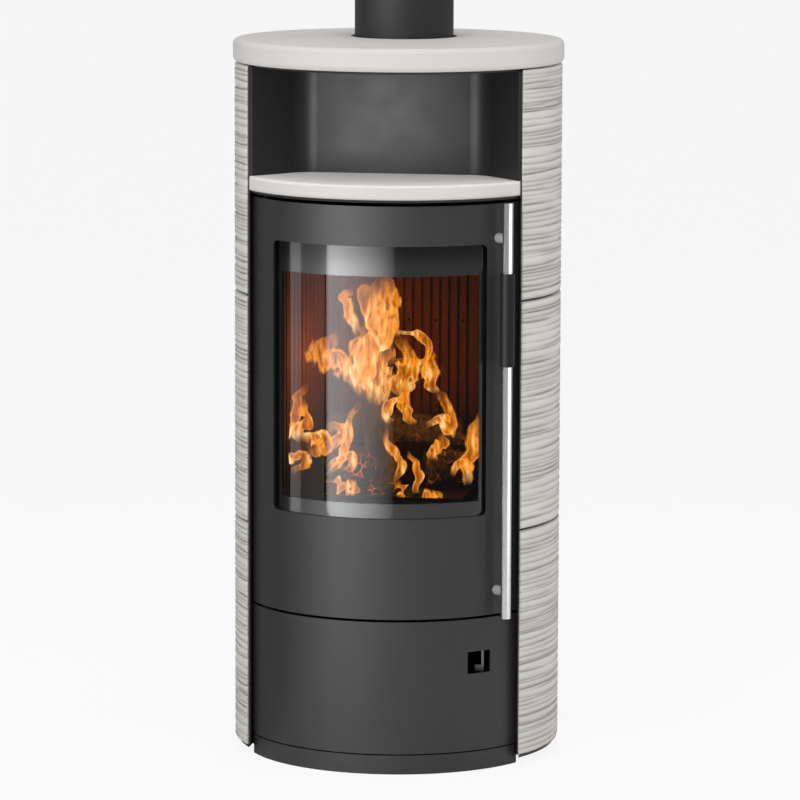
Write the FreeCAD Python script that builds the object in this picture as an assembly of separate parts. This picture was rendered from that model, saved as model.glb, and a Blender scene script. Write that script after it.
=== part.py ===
import FreeCAD, Part
import math
import os

# A round free-standing wood stove: a steel carcass with ceramic tiles on its sides, a warming
# niche, a fire door with curved glass, and a wood compartment behind a lower door.
# Millimetres, +Z up, the front faces -Y. The origin is on the floor under the body's axis.

# Heights, stacked from the floor up
FOOT_HEIGHT = 10.0
BASE_THICKNESS = 6.0
PLINTH_HEIGHT = 29.3
PLINTH_GAP = 2.0
WOOD_DOOR_HEIGHT = 204.0
DOOR_GAP = 4.0
FIRE_DOOR_HEIGHT = 629.0
LINTEL_GAP = 6.0
LINTEL_THICKNESS = 4.0
SHELF_THICKNESS = 22.2
NICHE_HEIGHT = 165.7
CARCASS_TOP_THICKNESS = 4.0
TOP_PLATE_THICKNESS = 35.3
PIPE_RISE = 65.0
PIPE_END_LENGTH = 50.0

# Plan sizes of the round body
TOP_PLATE_LAP = 2.0
TOP_PLATE_EDGE = 8.0
TILE_RADIUS = 253.0
TILE_THICKNESS = 28.0
TILE_BACK_SETBACK = 113.0
TILE_EDGE = 4.0
TILE_SEAM = 3.0
TILE_TIERS = 3
TILE_TOP_GAP = 2.0
LEDGE_INSET = 7.0
SHELL_GAP = 3.0
SHELL_THICKNESS = 3.0
JAMB_SHEET = 2.0
JAMB_SETBACK = 5.0
JAMB_LAP = 9.0
PANEL_SETBACK = 17.0
PANEL_WIDTH_SHARE = 0.8182
SIDE_GAP = 4.0
BACK_SHARE = 0.7787

# Fits shared by several pieces
SEAT_CLEARANCE = 0.3
PIN_CLEARANCE = 0.05
SCREW_CLEARANCE = 0.1
OVERRUN = 20.0

# Feet and plinth
FOOT_RADIUS = 20.0
FOOT_STUD_RADIUS = 5.0
FOOT_SHARE = 0.5138
PLINTH_THICKNESS = 4.0
PLINTH_INSET = 2.0

# Top plate, shelf and niche
FLUE_Y = 52.0
FLUE_HOLE_RADIUS = 82.0
SHELF_REACH = 11.0
SHELF_EDGE = 4.0
SHELF_BACK_GAP = 1.0
LINTEL_REACH = 5.0
NICHE_BACK_SHARE = 0.186
NICHE_FLAT_SHARE = 0.57
NICHE_SHEET = 3.0
NICHE_BEND = 45.0

# Flue
PIPE_RADIUS = 76.6
PIPE_WALL = 2.0
PIPE_END_RADIUS = 74.0
SPIGOT_WALL = 3.0
SPIGOT_HEIGHT = 90.0
SPIGOT_FLANGE_RADIUS = 83.0
SPIGOT_FLANGE_THICKNESS = 3.0

# Fire door
DOOR_SHEET = 4.0
CUTOUT_SIDE_MARGIN = 43.0
CUTOUT_BOTTOM = 153.5
CUTOUT_TOP_MARGIN = 60.5
CUTOUT_CORNER = 8.0
GASKET_THICKNESS = 1.5
GASKET_WIDTH = 12.0
GLASS_THICKNESS = 4.0
GLASS_LAP = 16.0
FRAME_SIDE_MARGIN = 12.0
FRAME_SHEET = 4.0
FRAME_MARGIN = 6.0
FRAME_BACK_SHARE = 0.40316
FLANGE_WIDTH = 29.0
SEAL_THICKNESS = 7.7
SEAL_WIDTH = 12.0
SEAL_SIDE_INSET = 16.0
SEAL_END_INSET = 4.0
CLIP_LENGTH = 30.0
CLIP_WIDTH = 12.0
CLIP_THICKNESS = 2.0
CLIP_SCREW_RADIUS = 2.5
CLIP_HEAD_RADIUS = 4.5
CLIP_HEAD_HEIGHT = 3.0
CLIP_ANGLES = (-30.0, 0.0, 30.0)

# Door hinges
HINGE_SIDE_MARGIN = 25.0
HINGE_STEP = 31.0
HINGE_PIN_RADIUS = 4.0
HINGE_END_GAP = 0.6
HINGE_BLOCK_HEIGHT = 6.0
HINGE_BLOCK_REACH = 24.0
HINGE_BOSS_RADIUS = 7.0
HINGE_SWEEP = 40.0
HINGE_ARM_ANGLES = (-60.0, 10.0)

# Handle
BAR_RADIUS = 8.0
BAR_OFFSET = 22.0
BAR_ANGLE = 49.2
BAR_BELOW = 4.0
BAR_ABOVE = 2.0
PEG_RADIUS = 7.5
PEG_LOW = 37.4
PEG_TOP_MARGIN = 52.0
GRIP_RADIUS = 11.0
GRIP_LOW_SHARE = 0.6089
GRIP_LENGTH = 141.5
PEG_TENON_RADIUS = 3.0

# Latch
LATCH_SIDE_MARGIN = 22.0
LATCH_THICKNESS = 5.0
LATCH_HEIGHT = 40.0
LATCH_REACH = 20.0
LATCH_ROOM = 4.0
LATCH_DROP = 48.0
KEEPER_THICKNESS = 4.0
KEEPER_DEPTH = 14.0

# Firebox
FRONT_PLATE_THICKNESS = 4.0
FRONT_PLATE_MARGIN = 7.0
FRONT_PLATE_GAP = 2.0
FIRE_OPENING_MARGIN = 47.0
FIRE_OPENING_DROP = 36.0
ASH_OPENING_ROOM = 10.0
ASH_OPENING_BOTTOM = 30.0
ASH_OPENING_HEIGHT = 76.0
LINING_BACK_SHARE = 0.4348
LINING_WIDTH_SHARE = 0.4427
LINING_FRONT_STEP = 2.0
LINING_FRONT_GAP = 2.0
LINING_THICKNESS = 26.0
SMOKE_ROOM = 68.0
LINING_GAP = 1.0
RIB_PITCH = 14.4
GROOVE_WIDTH = 4.5
GROOVE_DEPTH = 6.0
AIR_HOLE_RADIUS = 2.2
AIR_HOLE_DROP = 151.0
AIR_HOLE_RIBS = 3
AIR_HOLES_EACH_SIDE = 2
WALL_SHEET = 3.0
HEARTH_RISE = 140.0
HEARTH_THICKNESS = 6.0
STONE_THICKNESS = 20.0
STONE_GAP = 2.0
GRATE_HALF_X = 70.0
GRATE_HALF_Y = 55.0
GRATE_Y = 5.0
GRATE_THICKNESS = 16.0
GRATE_LEDGE = 12.0
GRATE_RIM = 12.0
GRATE_SLOTS = 6
GRATE_BAR = 9.0
BAFFLE_THICKNESS = 26.0
BAFFLE_FRONT_Y = -20.0
DEFLECTOR_SHEET = 3.0
DEFLECTOR_RISE = 14.0
DEFLECTOR_SIDE_STEP = 8.0
DEFLECTOR_FRONT_Y = -60.0
DEFLECTOR_BACK_Y = 60.0
LIP_SIDE_GAP = 10.0
LIP_HEIGHT = 6.0
LIP_THICKNESS = 3.0
ASH_RUNNER_HEIGHT = 32.0
ASH_RUNNER_WIDTH = 15.0
ASH_PAN_SIDE_STEP = 18.0
ASH_PAN_FRONT_GAP = 6.0
ASH_PAN_BACK_GAP = 20.0
ASH_PAN_HEIGHT = 70.0
ASH_PAN_SHEET = 2.0
ASH_GRIP_HALF_WIDTH = 40.0
ASH_GRIP_HEIGHT = 26.0

# Logs of the fire, in plan
LOG_RADIUS = 33.0
LOG_LEFT_START = (-114.0, 46.0)
LOG_LEFT_END = (-42.0, 20.0)
LOG_RIGHT_START = (42.0, 20.0)
LOG_RIGHT_END = (112.0, 52.0)
CROSS_LOG_RADIUS = 28.0
CROSS_LOG_Y = 38.0
CROSS_LOG_LEFT_X = -112.0
CROSS_LOG_RIGHT_X = 104.0
LEAN_LOG_RADIUS = 27.0
LEAN_LOG_LENGTH = 225.0
LEAN_LOG_X = -15.0
LEAN_LOG_SIDE_SLOPE = -0.12
LEAN_LOG_BACK_SLOPE = 0.25

# Divider plate and wood compartment
DIVIDER_THICKNESS = 4.0
DIVIDER_DROP = 7.0
DIVIDER_SETBACK = 7.0
DIVIDER_SIDE_GAP = 3.0
WOOD_BACK_SHARE = 0.5929
WOOD_BACK_SHEET = 2.0

# Wood compartment door
WOOD_DOOR_SHEET = 3.0
WINDOW_LEFT_ANGLE = 36.6
WINDOW_RIGHT_ANGLE = 46.7
WINDOW_DROP = 50.3
WINDOW_HEIGHT = 34.3
STIFFENER_DEPTH = 16.0
STIFFENER_SHEET = 3.0
STIFFENER_MARGIN = 7.0
STIFFENER_SIDE_GAP = 11.0
MAGNET_SIDE_MARGIN = 23.0
MAGNET_WIDTH = 14.0
MAGNET_DEPTH = 14.0
MAGNET_HEIGHT = 20.0
MAGNET_STEP = 9.0

# Air control
VALVE_LEFT_SHARE = 0.4743
VALVE_WIDTH = 60.0
VALVE_STEP = 36.0
VALVE_DEPTH = 43.0
VALVE_HEIGHT = 30.0
VALVE_SHEET = 2.0
SLIDER_THICKNESS = 3.0
SLIDER_RISE = 12.0
SLIDER_ROOM = 1.0
LEVER_SIDE_STEP = 21.3
LEVER_WIDTH = 3.6
LEVER_STEP = 18.0
LEVER_THICKNESS = 3.0
LEVER_DROP = 74.0
TAB_WIDTH = 10.0
TAB_HEIGHT = 10.2
TAB_RISE = 10.0
SLIDER_TRAVEL_LEFT = 12.0
SLIDER_TRAVEL_RIGHT = 6.0
DUCT_SIDE_STEP = 15.0
DUCT_WIDTH = 45.0

# Rear side
RAIL_SHARE = 0.3478
RAIL_WIDTH = 14.0
RAIL_THICKNESS = 6.0
COVER_SHEET = 2.0
COVER_LAP = 16.0
COVER_SCREW_RADIUS = 2.5
COVER_SCREW_HEAD_RADIUS = 5.0
COVER_SCREW_HEAD_HEIGHT = 2.5
COVER_SCREW_ROWS = 4
COVER_SCREW_MARGIN = 40.0
VENT_COUNT = 7
VENT_WIDTH = 120.0
VENT_HEIGHT = 5.0
VENT_PITCH = 14.0
VENT_DROP = 60.0
AIR_SPIGOT_RADIUS = 50.0
AIR_SPIGOT_WALL = 2.0
AIR_SPIGOT_Z = 120.0
AIR_SPIGOT_LENGTH = 50.0
AIR_FLANGE_RADIUS = 60.0
AIR_FLANGE_THICKNESS = 3.0
AIR_NECK_STEP = 1.0
SPACER_WIDTH = 10.0
SPACER_HEIGHT = 30.0
SPACER_ANGLES = (-12.0, 25.0)

# Levels worked out from the heights
BASE_TOP = FOOT_HEIGHT + BASE_THICKNESS
WOOD_DOOR_Z = PLINTH_HEIGHT + PLINTH_GAP
WOOD_DOOR_TOP = WOOD_DOOR_Z + WOOD_DOOR_HEIGHT
FIRE_DOOR_Z = WOOD_DOOR_TOP + DOOR_GAP
FIRE_DOOR_TOP = FIRE_DOOR_Z + FIRE_DOOR_HEIGHT
LINTEL_Z = FIRE_DOOR_TOP + LINTEL_GAP
LINTEL_TOP = LINTEL_Z + LINTEL_THICKNESS
SHELF_TOP = LINTEL_TOP + SHELF_THICKNESS
CARCASS_TOP_Z = SHELF_TOP + NICHE_HEIGHT
BODY_TOP = CARCASS_TOP_Z + CARCASS_TOP_THICKNESS
STOVE_TOP = BODY_TOP + TOP_PLATE_THICKNESS
DIVIDER_Z = WOOD_DOOR_TOP - DIVIDER_DROP
DIVIDER_TOP = DIVIDER_Z + DIVIDER_THICKNESS
HEARTH_Z = DIVIDER_TOP + HEARTH_RISE
HEARTH_TOP = HEARTH_Z + HEARTH_THICKNESS
LINING_TOP = LINTEL_Z - SMOKE_ROOM
FRAME_Z = FIRE_DOOR_Z + FRAME_MARGIN
FRAME_TOP = FIRE_DOOR_TOP - FRAME_MARGIN
CUTOUT_HEIGHT = FIRE_DOOR_HEIGHT - CUTOUT_BOTTOM - CUTOUT_TOP_MARGIN

# Radii and plan places that follow the tiles' radius
TOP_PLATE_RADIUS = TILE_RADIUS + TOP_PLATE_LAP
TILE_INNER = TILE_RADIUS - TILE_THICKNESS
TILE_BACK_Y = TILE_RADIUS - TILE_BACK_SETBACK
BACK_Y = TILE_RADIUS * BACK_SHARE
SHELL_OUTER = TILE_INNER - SHELL_GAP
SHELL_INNER = SHELL_OUTER - SHELL_THICKNESS
PLATE_RADIUS = SHELL_INNER - SEAT_CLEARANCE
PANEL_RADIUS = TILE_RADIUS - PANEL_SETBACK
PANEL_HALF_WIDTH = TILE_RADIUS * PANEL_WIDTH_SHARE
TILE_FRONT_X = PANEL_HALF_WIDTH + SIDE_GAP
JAMB_OUTER = TILE_FRONT_X - SEAT_CLEARANCE
JAMB_INNER = JAMB_OUTER - JAMB_SHEET
FOOT_OFFSET = TILE_RADIUS * FOOT_SHARE
SHELF_RADIUS = PANEL_RADIUS + SHELF_REACH
LINTEL_RADIUS = PANEL_RADIUS + LINTEL_REACH
NICHE_DEPTH_Y = -TILE_RADIUS * NICHE_BACK_SHARE
NICHE_FLAT_HALF = TILE_RADIUS * NICHE_FLAT_SHARE
NICHE_HALF_WIDTH = JAMB_INNER - SEAT_CLEARANCE
RAIL_X = TILE_RADIUS * RAIL_SHARE
COVER_HALF_WIDTH = RAIL_X + COVER_LAP

# The doors' plan places
DOOR_INNER = PANEL_RADIUS - DOOR_SHEET
GLASS_OUTER = DOOR_INNER - GASKET_THICKNESS
GLASS_INNER = GLASS_OUTER - GLASS_THICKNESS
CUTOUT_HALF_WIDTH = PANEL_HALF_WIDTH - CUTOUT_SIDE_MARGIN
FRAME_HALF_WIDTH = PANEL_HALF_WIDTH - FRAME_SIDE_MARGIN
FRAME_BACK_Y = -TILE_RADIUS * FRAME_BACK_SHARE
HINGE_X = HINGE_SIDE_MARGIN - PANEL_HALF_WIDTH
HINGE_Y = FRAME_BACK_Y - HINGE_STEP
JAMB_FRONT_Y = HINGE_Y + JAMB_SETBACK
NICHE_MOUTH_Y = JAMB_FRONT_Y + SEAT_CLEARANCE
LATCH_X = PANEL_HALF_WIDTH - LATCH_SIDE_MARGIN
STIFFENER_HALF_WIDTH = PANEL_HALF_WIDTH - STIFFENER_SIDE_GAP
MAGNET_X = PANEL_HALF_WIDTH - MAGNET_SIDE_MARGIN
MAGNET_FRONT_Y = FRAME_BACK_Y - MAGNET_STEP

# The firebox's and the wood compartment's plan places
FRONT_PLATE_Y = FRAME_BACK_Y + SEAL_THICKNESS + SEAT_CLEARANCE
FRONT_PLATE_HALF_WIDTH = PANEL_HALF_WIDTH - FRONT_PLATE_MARGIN
FIRE_OPENING_HALF_WIDTH = PANEL_HALF_WIDTH - FIRE_OPENING_MARGIN
LINING_BACK_Y = TILE_RADIUS * LINING_BACK_SHARE
LINING_BACK_HALF = TILE_RADIUS * LINING_WIDTH_SHARE
LINING_FRONT_HALF = FIRE_OPENING_HALF_WIDTH + LINING_FRONT_STEP
LINING_FRONT_Y = FRONT_PLATE_Y + FRONT_PLATE_THICKNESS + LINING_FRONT_GAP
DEFLECTOR_HALF_WIDTH = LINING_BACK_HALF + DEFLECTOR_SIDE_STEP
LIP_HALF_WIDTH = FIRE_OPENING_HALF_WIDTH - LIP_SIDE_GAP
ASH_PAN_HALF_WIDTH = LINING_BACK_HALF + ASH_PAN_SIDE_STEP
ASH_PAN_FRONT_Y = FRONT_PLATE_Y + FRONT_PLATE_THICKNESS + ASH_PAN_FRONT_GAP
ASH_PAN_BACK_Y = LINING_BACK_Y - ASH_PAN_BACK_GAP
ASH_OPENING_HALF_WIDTH = ASH_PAN_HALF_WIDTH + ASH_OPENING_ROOM
DIVIDER_FRONT_RADIUS = PANEL_RADIUS - DIVIDER_SETBACK
DIVIDER_HALF_WIDTH = PANEL_HALF_WIDTH - DIVIDER_SIDE_GAP
WOOD_BACK_Y = TILE_RADIUS * WOOD_BACK_SHARE
VALVE_LEFT_X = TILE_RADIUS * VALVE_LEFT_SHARE
VALVE_RIGHT_X = VALVE_LEFT_X + VALVE_WIDTH
VALVE_FRONT_Y = FRAME_BACK_Y - VALVE_STEP
VALVE_BACK_Y = VALVE_FRONT_Y + VALVE_DEPTH
LEVER_X = VALVE_RIGHT_X - LEVER_SIDE_STEP
LEVER_Y = VALVE_FRONT_Y - LEVER_STEP
DUCT_LEFT_X = VALVE_LEFT_X - DUCT_SIDE_STEP
DUCT_RIGHT_X = DUCT_LEFT_X + DUCT_WIDTH
PIPE_BORE = PIPE_RADIUS - PIPE_WALL
SPIGOT_RADIUS = PIPE_BORE - SEAT_CLEARANCE


def vec(x, y, z):
    return FreeCAD.Vector(x, y, z)


def box(x0, x1, y0, y1, z0, z1):
    return Part.makeBox(x1 - x0, y1 - y0, z1 - z0, vec(x0, y0, z0))


def disc(radius, z0, z1, x=0, y=0):
    return Part.makeCylinder(radius, z1 - z0, vec(x, y, z0))


def ring(inner, outer, z0, z1, x=0, y=0):
    return disc(outer, z0, z1, x, y).cut(disc(inner, z0, z1, x, y))


def rod(radius, start, end):
    """A cylinder between two points."""
    way = end.sub(start)
    return Part.makeCylinder(radius, way.Length, start, way)


def front_zone(half_width, z0, z1):
    """The space in front of the axis between two upright planes."""
    return box(-half_width, half_width, -TOP_PLATE_RADIUS - OVERRUN, 0, z0, z1)


def front_arc(inner, outer, half_width, z0, z1):
    """A curved sheet across the front, cut at two upright planes."""
    return ring(inner, outer, z0, z1).common(front_zone(half_width, z0, z1))


def prism(points, z0, z1):
    """An upright prism over a plan outline."""
    corners = [vec(x, y, z0) for x, y in points]
    face = Part.Face(Part.makePolygon(corners + corners[:1]))
    return face.extrude(vec(0, 0, z1 - z0))


def at_angle(radius, degrees):
    """Plan position at an angle from the front, positive to the right."""
    turn = math.radians(degrees)
    return radius * math.sin(turn), -radius * math.cos(turn)


def turned(shape, degrees):
    """A shape built at the front, turned to an angle from the front."""
    copy = shape.copy()
    copy.rotate(vec(0, 0, 0), vec(0, 0, 1), degrees)
    return copy


def fused(shapes):
    """Several touching shapes as one solid."""
    return shapes[0].multiFuse(shapes[1:]).removeSplitter()


def export(name, shapes):
    """Write one node, a single solid or a group of separate solids."""
    group = shapes if isinstance(shapes, list) else [shapes]
    solids = [solid for shape in group for solid in shape.Solids]
    shape = solids[0] if len(solids) == 1 else Part.makeCompound(solids)
    shape.exportStep("parts/" + name + ".step")


def edges_where(shape, test):
    """The edges whose middle point passes a test."""
    picked = []
    for edge in shape.Edges:
        middle = edge.valueAt((edge.FirstParameter + edge.LastParameter) / 2)
        if test(middle):
            picked.append(edge)
    return picked


# Floor and carcass

def base_plate():
    """The floor of the stove: round under the tiles, flush with the carcass behind them."""
    plate = disc(TILE_RADIUS - LEDGE_INSET, FOOT_HEIGHT, BASE_TOP)
    front_edge = PANEL_RADIUS - PLINTH_THICKNESS - SEAT_CLEARANCE
    outside = ring(front_edge, TILE_RADIUS + OVERRUN, FOOT_HEIGHT, BASE_TOP)
    plate = plate.cut(outside.common(front_zone(TILE_FRONT_X, FOOT_HEIGHT, BASE_TOP)))
    reach = TILE_RADIUS + OVERRUN
    behind = ring(SHELL_OUTER, reach, FOOT_HEIGHT, BASE_TOP)
    behind = behind.common(box(-reach, reach, TILE_BACK_Y, reach, FOOT_HEIGHT, BASE_TOP))
    back = box(-reach, reach, BACK_Y + COVER_SHEET, reach, FOOT_HEIGHT, BASE_TOP)
    plate = plate.cut([behind, back])
    radius = FOOT_STUD_RADIUS + SCREW_CLEARANCE
    holes = [disc(radius, FOOT_HEIGHT, BASE_TOP, x, y) for x, y in foot_places()]
    return plate.cut(holes + [hinge_hole(FOOT_HEIGHT, BASE_TOP)])


def foot_places():
    return [(x, y) for x in (-FOOT_OFFSET, FOOT_OFFSET) for y in (-FOOT_OFFSET, FOOT_OFFSET)]


def levelling_feet():
    feet = []
    for x, y in foot_places():
        pad = disc(FOOT_RADIUS, 0, FOOT_HEIGHT, x, y)
        feet.append(pad.fuse(disc(FOOT_STUD_RADIUS, FOOT_HEIGHT, BASE_TOP, x, y)))
    return feet


def plinth_front():
    half = PANEL_HALF_WIDTH - PLINTH_INSET
    return front_arc(PANEL_RADIUS - PLINTH_THICKNESS, PANEL_RADIUS, half, 0, PLINTH_HEIGHT)


def carcass_sides():
    """The two halves of the shell, each with a flat jamb beside the doors."""
    z0, z1 = BASE_TOP, CARCASS_TOP_Z
    shell = ring(SHELL_INNER, SHELL_OUTER, z0, z1)
    back = box(-SHELL_OUTER, SHELL_OUTER, BACK_Y, SHELL_OUTER + OVERRUN, z0, z1)
    shell = shell.cut([front_zone(JAMB_INNER, z0, z1), back])
    edge_y = -math.sqrt(SHELL_OUTER ** 2 - JAMB_INNER ** 2)
    halves = []
    for half in shell.Solids:
        side = math.copysign(1, half.CenterOfMass.x)
        low, high = sorted((side * JAMB_INNER, side * JAMB_OUTER))
        jamb = box(low, high, JAMB_FRONT_Y, edge_y + JAMB_LAP, z0, z1)
        halves.append(fused([half, jamb]))
    return halves


def carcass_top():
    plate = disc(SHELL_OUTER, CARCASS_TOP_Z, BODY_TOP)
    front = disc(PANEL_RADIUS, CARCASS_TOP_Z, BODY_TOP)
    plate = fused([plate, front.common(front_zone(PANEL_HALF_WIDTH, CARCASS_TOP_Z, BODY_TOP))])
    back = box(-SHELL_OUTER, SHELL_OUTER, BACK_Y, SHELL_OUTER + OVERRUN, CARCASS_TOP_Z, BODY_TOP)
    return plate.cut([back, disc(FLUE_HOLE_RADIUS, CARCASS_TOP_Z, BODY_TOP, 0, FLUE_Y)])


def top_plate():
    plate = disc(TOP_PLATE_RADIUS, BODY_TOP, STOVE_TOP)
    rim = edges_where(plate, lambda p: math.hypot(p.x, p.y) > TOP_PLATE_RADIUS - SEAT_CLEARANCE)
    plate = plate.makeFillet(TOP_PLATE_EDGE, rim)
    return plate.cut(disc(FLUE_HOLE_RADIUS, BODY_TOP, STOVE_TOP, 0, FLUE_Y))


# Tiles

def side_zone(side, z0, z1):
    """The plan space that the tiles of one side take up."""
    reach = TILE_RADIUS + OVERRUN
    low, high = sorted((side * TILE_FRONT_X, side * reach))
    front = box(low, high, -reach, 0, z0, z1)
    low, high = sorted((0, side * reach))
    return front.fuse(box(low, high, 0, TILE_BACK_Y, z0, z1))


def tile_height():
    room = BODY_TOP - TILE_TOP_GAP - BASE_TOP - TILE_SEAM * (TILE_TIERS - 1)
    return room / TILE_TIERS


def tile_floor(tier):
    return BASE_TOP + tier * (tile_height() + TILE_SEAM)


def side_tile(side, tier):
    z0 = tile_floor(tier)
    z1 = z0 + tile_height()
    tile = ring(TILE_INNER, TILE_RADIUS, z0, z1).common(side_zone(side, z0, z1)).removeSplitter()
    outside = edges_where(tile, lambda p: math.hypot(p.x, p.y) > TILE_RADIUS - SEAT_CLEARANCE)
    return tile.makeFillet(TILE_EDGE, outside)


def tile_ledges():
    ledges = []
    for side in (-1, 1):
        for tier in range(1, TILE_TIERS):
            z1 = tile_floor(tier)
            z0 = z1 - TILE_SEAM
            ledge = ring(SHELL_OUTER + SEAT_CLEARANCE, TILE_RADIUS - LEDGE_INSET, z0, z1)
            ledges.append(ledge.common(side_zone(side, z0, z1)).removeSplitter())
    return ledges


def tile_spacers():
    """Pads that hold each tile off the carcass, two to a tile."""
    spacers = []
    inner = SHELL_OUTER + SEAT_CLEARANCE
    outer = TILE_INNER - SEAT_CLEARANCE
    for tier in range(TILE_TIERS):
        middle = tile_floor(tier) + tile_height() / 2
        pad = box(inner, outer, -SPACER_WIDTH / 2, SPACER_WIDTH / 2, middle, middle + SPACER_HEIGHT)
        pad = pad.common(disc(outer, middle, middle + SPACER_HEIGHT))
        for angle in SPACER_ANGLES:
            spacers.append(turned(pad, angle))
            spacers.append(turned(pad, math.degrees(math.pi) - angle))
    return spacers


# Niche, shelf and flue

def niche_plan(offset):
    """The niche's plan outline, moved outwards by an offset: front left round to front right."""
    slope = (NICHE_HALF_WIDTH - NICHE_FLAT_HALF) / (NICHE_DEPTH_Y - NICHE_MOUTH_Y)
    out = (offset - NICHE_SHEET) * math.hypot(1, slope)
    back_y = NICHE_DEPTH_Y + offset
    mouth = NICHE_HALF_WIDTH + out
    back = mouth - slope * (back_y - NICHE_MOUTH_Y)
    return [(-mouth, NICHE_MOUTH_Y), (-back, back_y), (back, back_y), (mouth, NICHE_MOUTH_Y)]


def niche_space(offset, z0, z1):
    """The niche's plan as a solid with bent corners, moved outwards by an offset."""
    space = prism(niche_plan(offset), z0, z1)
    back_y = NICHE_DEPTH_Y + offset
    upright = edges_where(space, lambda p: p.y > back_y - SEAT_CLEARANCE and z0 < p.z < z1)
    return space.makeFillet(NICHE_BEND + offset, upright)


def niche_wall():
    """One bent sheet: the flat back and the two slanting cheeks."""
    return niche_space(NICHE_SHEET, LINTEL_TOP, CARCASS_TOP_Z).cut(niche_space(0, LINTEL_TOP, CARCASS_TOP_Z))


def shelf_plate():
    plate = disc(SHELF_RADIUS, LINTEL_TOP, SHELF_TOP)
    plate = plate.common(front_zone(JAMB_INNER - SEAT_CLEARANCE, LINTEL_TOP, SHELF_TOP))
    reach = SHELF_RADIUS + OVERRUN
    front_y = NICHE_MOUTH_Y - SHELF_BACK_GAP
    front = box(-reach, reach, -reach, front_y, LINTEL_TOP, SHELF_TOP)
    half = niche_plan(-SHELF_BACK_GAP)[-1][0]
    neck = box(-half, half, front_y, NICHE_MOUTH_Y, LINTEL_TOP, SHELF_TOP)
    plate = plate.common(fused([front, neck, niche_space(-SHELF_BACK_GAP, LINTEL_TOP, SHELF_TOP)]))
    front = edges_where(plate, lambda p: math.hypot(p.x, p.y) > SHELF_RADIUS - SEAT_CLEARANCE)
    flat = [edge for edge in front if abs(edge.Vertexes[0].Z - edge.Vertexes[-1].Z) < SEAT_CLEARANCE]
    return plate.makeFillet(SHELF_EDGE, flat)


def front_plate_outline(radius, half_width, z0, z1):
    """A round plate inside the carcass that runs forward between the tiles."""
    front = disc(radius, z0, z1).common(front_zone(half_width, z0, z1))
    plate = fused([disc(PLATE_RADIUS, z0, z1), front])
    back_y = BACK_Y - RAIL_THICKNESS - SEAT_CLEARANCE
    return plate.cut(box(-SHELL_OUTER, SHELL_OUTER, back_y, SHELL_OUTER, z0, z1))


def hinge_hole(z0, z1):
    return disc(HINGE_PIN_RADIUS + PIN_CLEARANCE, z0, z1, HINGE_X, HINGE_Y)


def firebox_top():
    plate = front_plate_outline(LINTEL_RADIUS, PANEL_HALF_WIDTH, LINTEL_Z, LINTEL_TOP)
    flue = disc(SPIGOT_RADIUS + SEAT_CLEARANCE, LINTEL_Z, LINTEL_TOP, 0, FLUE_Y)
    return plate.cut([flue, hinge_hole(LINTEL_Z, LINTEL_TOP)])


def flue_spigot():
    top = LINTEL_TOP + SPIGOT_HEIGHT
    tube = disc(SPIGOT_RADIUS, LINTEL_Z, top, 0, FLUE_Y)
    flange = disc(SPIGOT_FLANGE_RADIUS, LINTEL_TOP, LINTEL_TOP + SPIGOT_FLANGE_THICKNESS, 0, FLUE_Y)
    return fused([tube, flange]).cut(disc(SPIGOT_RADIUS - SPIGOT_WALL, LINTEL_Z, top, 0, FLUE_Y))


def flue_pipe():
    bottom = LINTEL_TOP + SPIGOT_FLANGE_THICKNESS
    shoulder = STOVE_TOP + PIPE_RISE
    top = shoulder + PIPE_END_LENGTH
    pipe = ring(PIPE_BORE, PIPE_RADIUS, bottom, shoulder, 0, FLUE_Y)
    end = ring(PIPE_END_RADIUS - PIPE_WALL, PIPE_END_RADIUS, shoulder - PIPE_WALL, top, 0, FLUE_Y)
    step = ring(PIPE_END_RADIUS - PIPE_WALL, PIPE_RADIUS, shoulder - PIPE_WALL, shoulder, 0, FLUE_Y)
    return fused([pipe, step, end])


# Firebox

def lining_corners(offset, front_y=LINING_FRONT_Y):
    """The firebox's inner plan outline, moved outwards by an offset: front left round to front right."""
    slope = (LINING_FRONT_HALF - LINING_BACK_HALF) / (LINING_BACK_Y - LINING_FRONT_Y)
    stretch = math.hypot(1, slope)
    back_y = LINING_BACK_Y + offset
    halves = []
    for y in (front_y, back_y):
        halves.append(LINING_FRONT_HALF + offset * stretch - slope * (y - LINING_FRONT_Y))
    front_half, back_half = halves
    return [(-front_half, front_y), (-back_half, back_y), (back_half, back_y), (front_half, front_y)]


def lining_back():
    z0, z1 = HEARTH_TOP, LINING_TOP
    half = LINING_BACK_HALF - LINING_GAP
    plate = box(-half, half, LINING_BACK_Y, LINING_BACK_Y + LINING_THICKNESS, z0, z1)
    cuts = []
    count = int(half / RIB_PITCH)
    for index in range(-count, count):
        x = (index + 1 / 2) * RIB_PITCH
        left, right = x - GROOVE_WIDTH / 2, x + GROOVE_WIDTH / 2
        cuts.append(box(left, right, LINING_BACK_Y, LINING_BACK_Y + GROOVE_DEPTH, z0, z1))
    level = LINING_TOP - AIR_HOLE_DROP
    for index in range(-AIR_HOLES_EACH_SIDE, AIR_HOLES_EACH_SIDE + 1):
        x = index * AIR_HOLE_RIBS * RIB_PITCH
        far = vec(x, LINING_BACK_Y + LINING_THICKNESS, level)
        cuts.append(rod(AIR_HOLE_RADIUS, vec(x, LINING_BACK_Y, level), far))
    return plate.cut(cuts)


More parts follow.
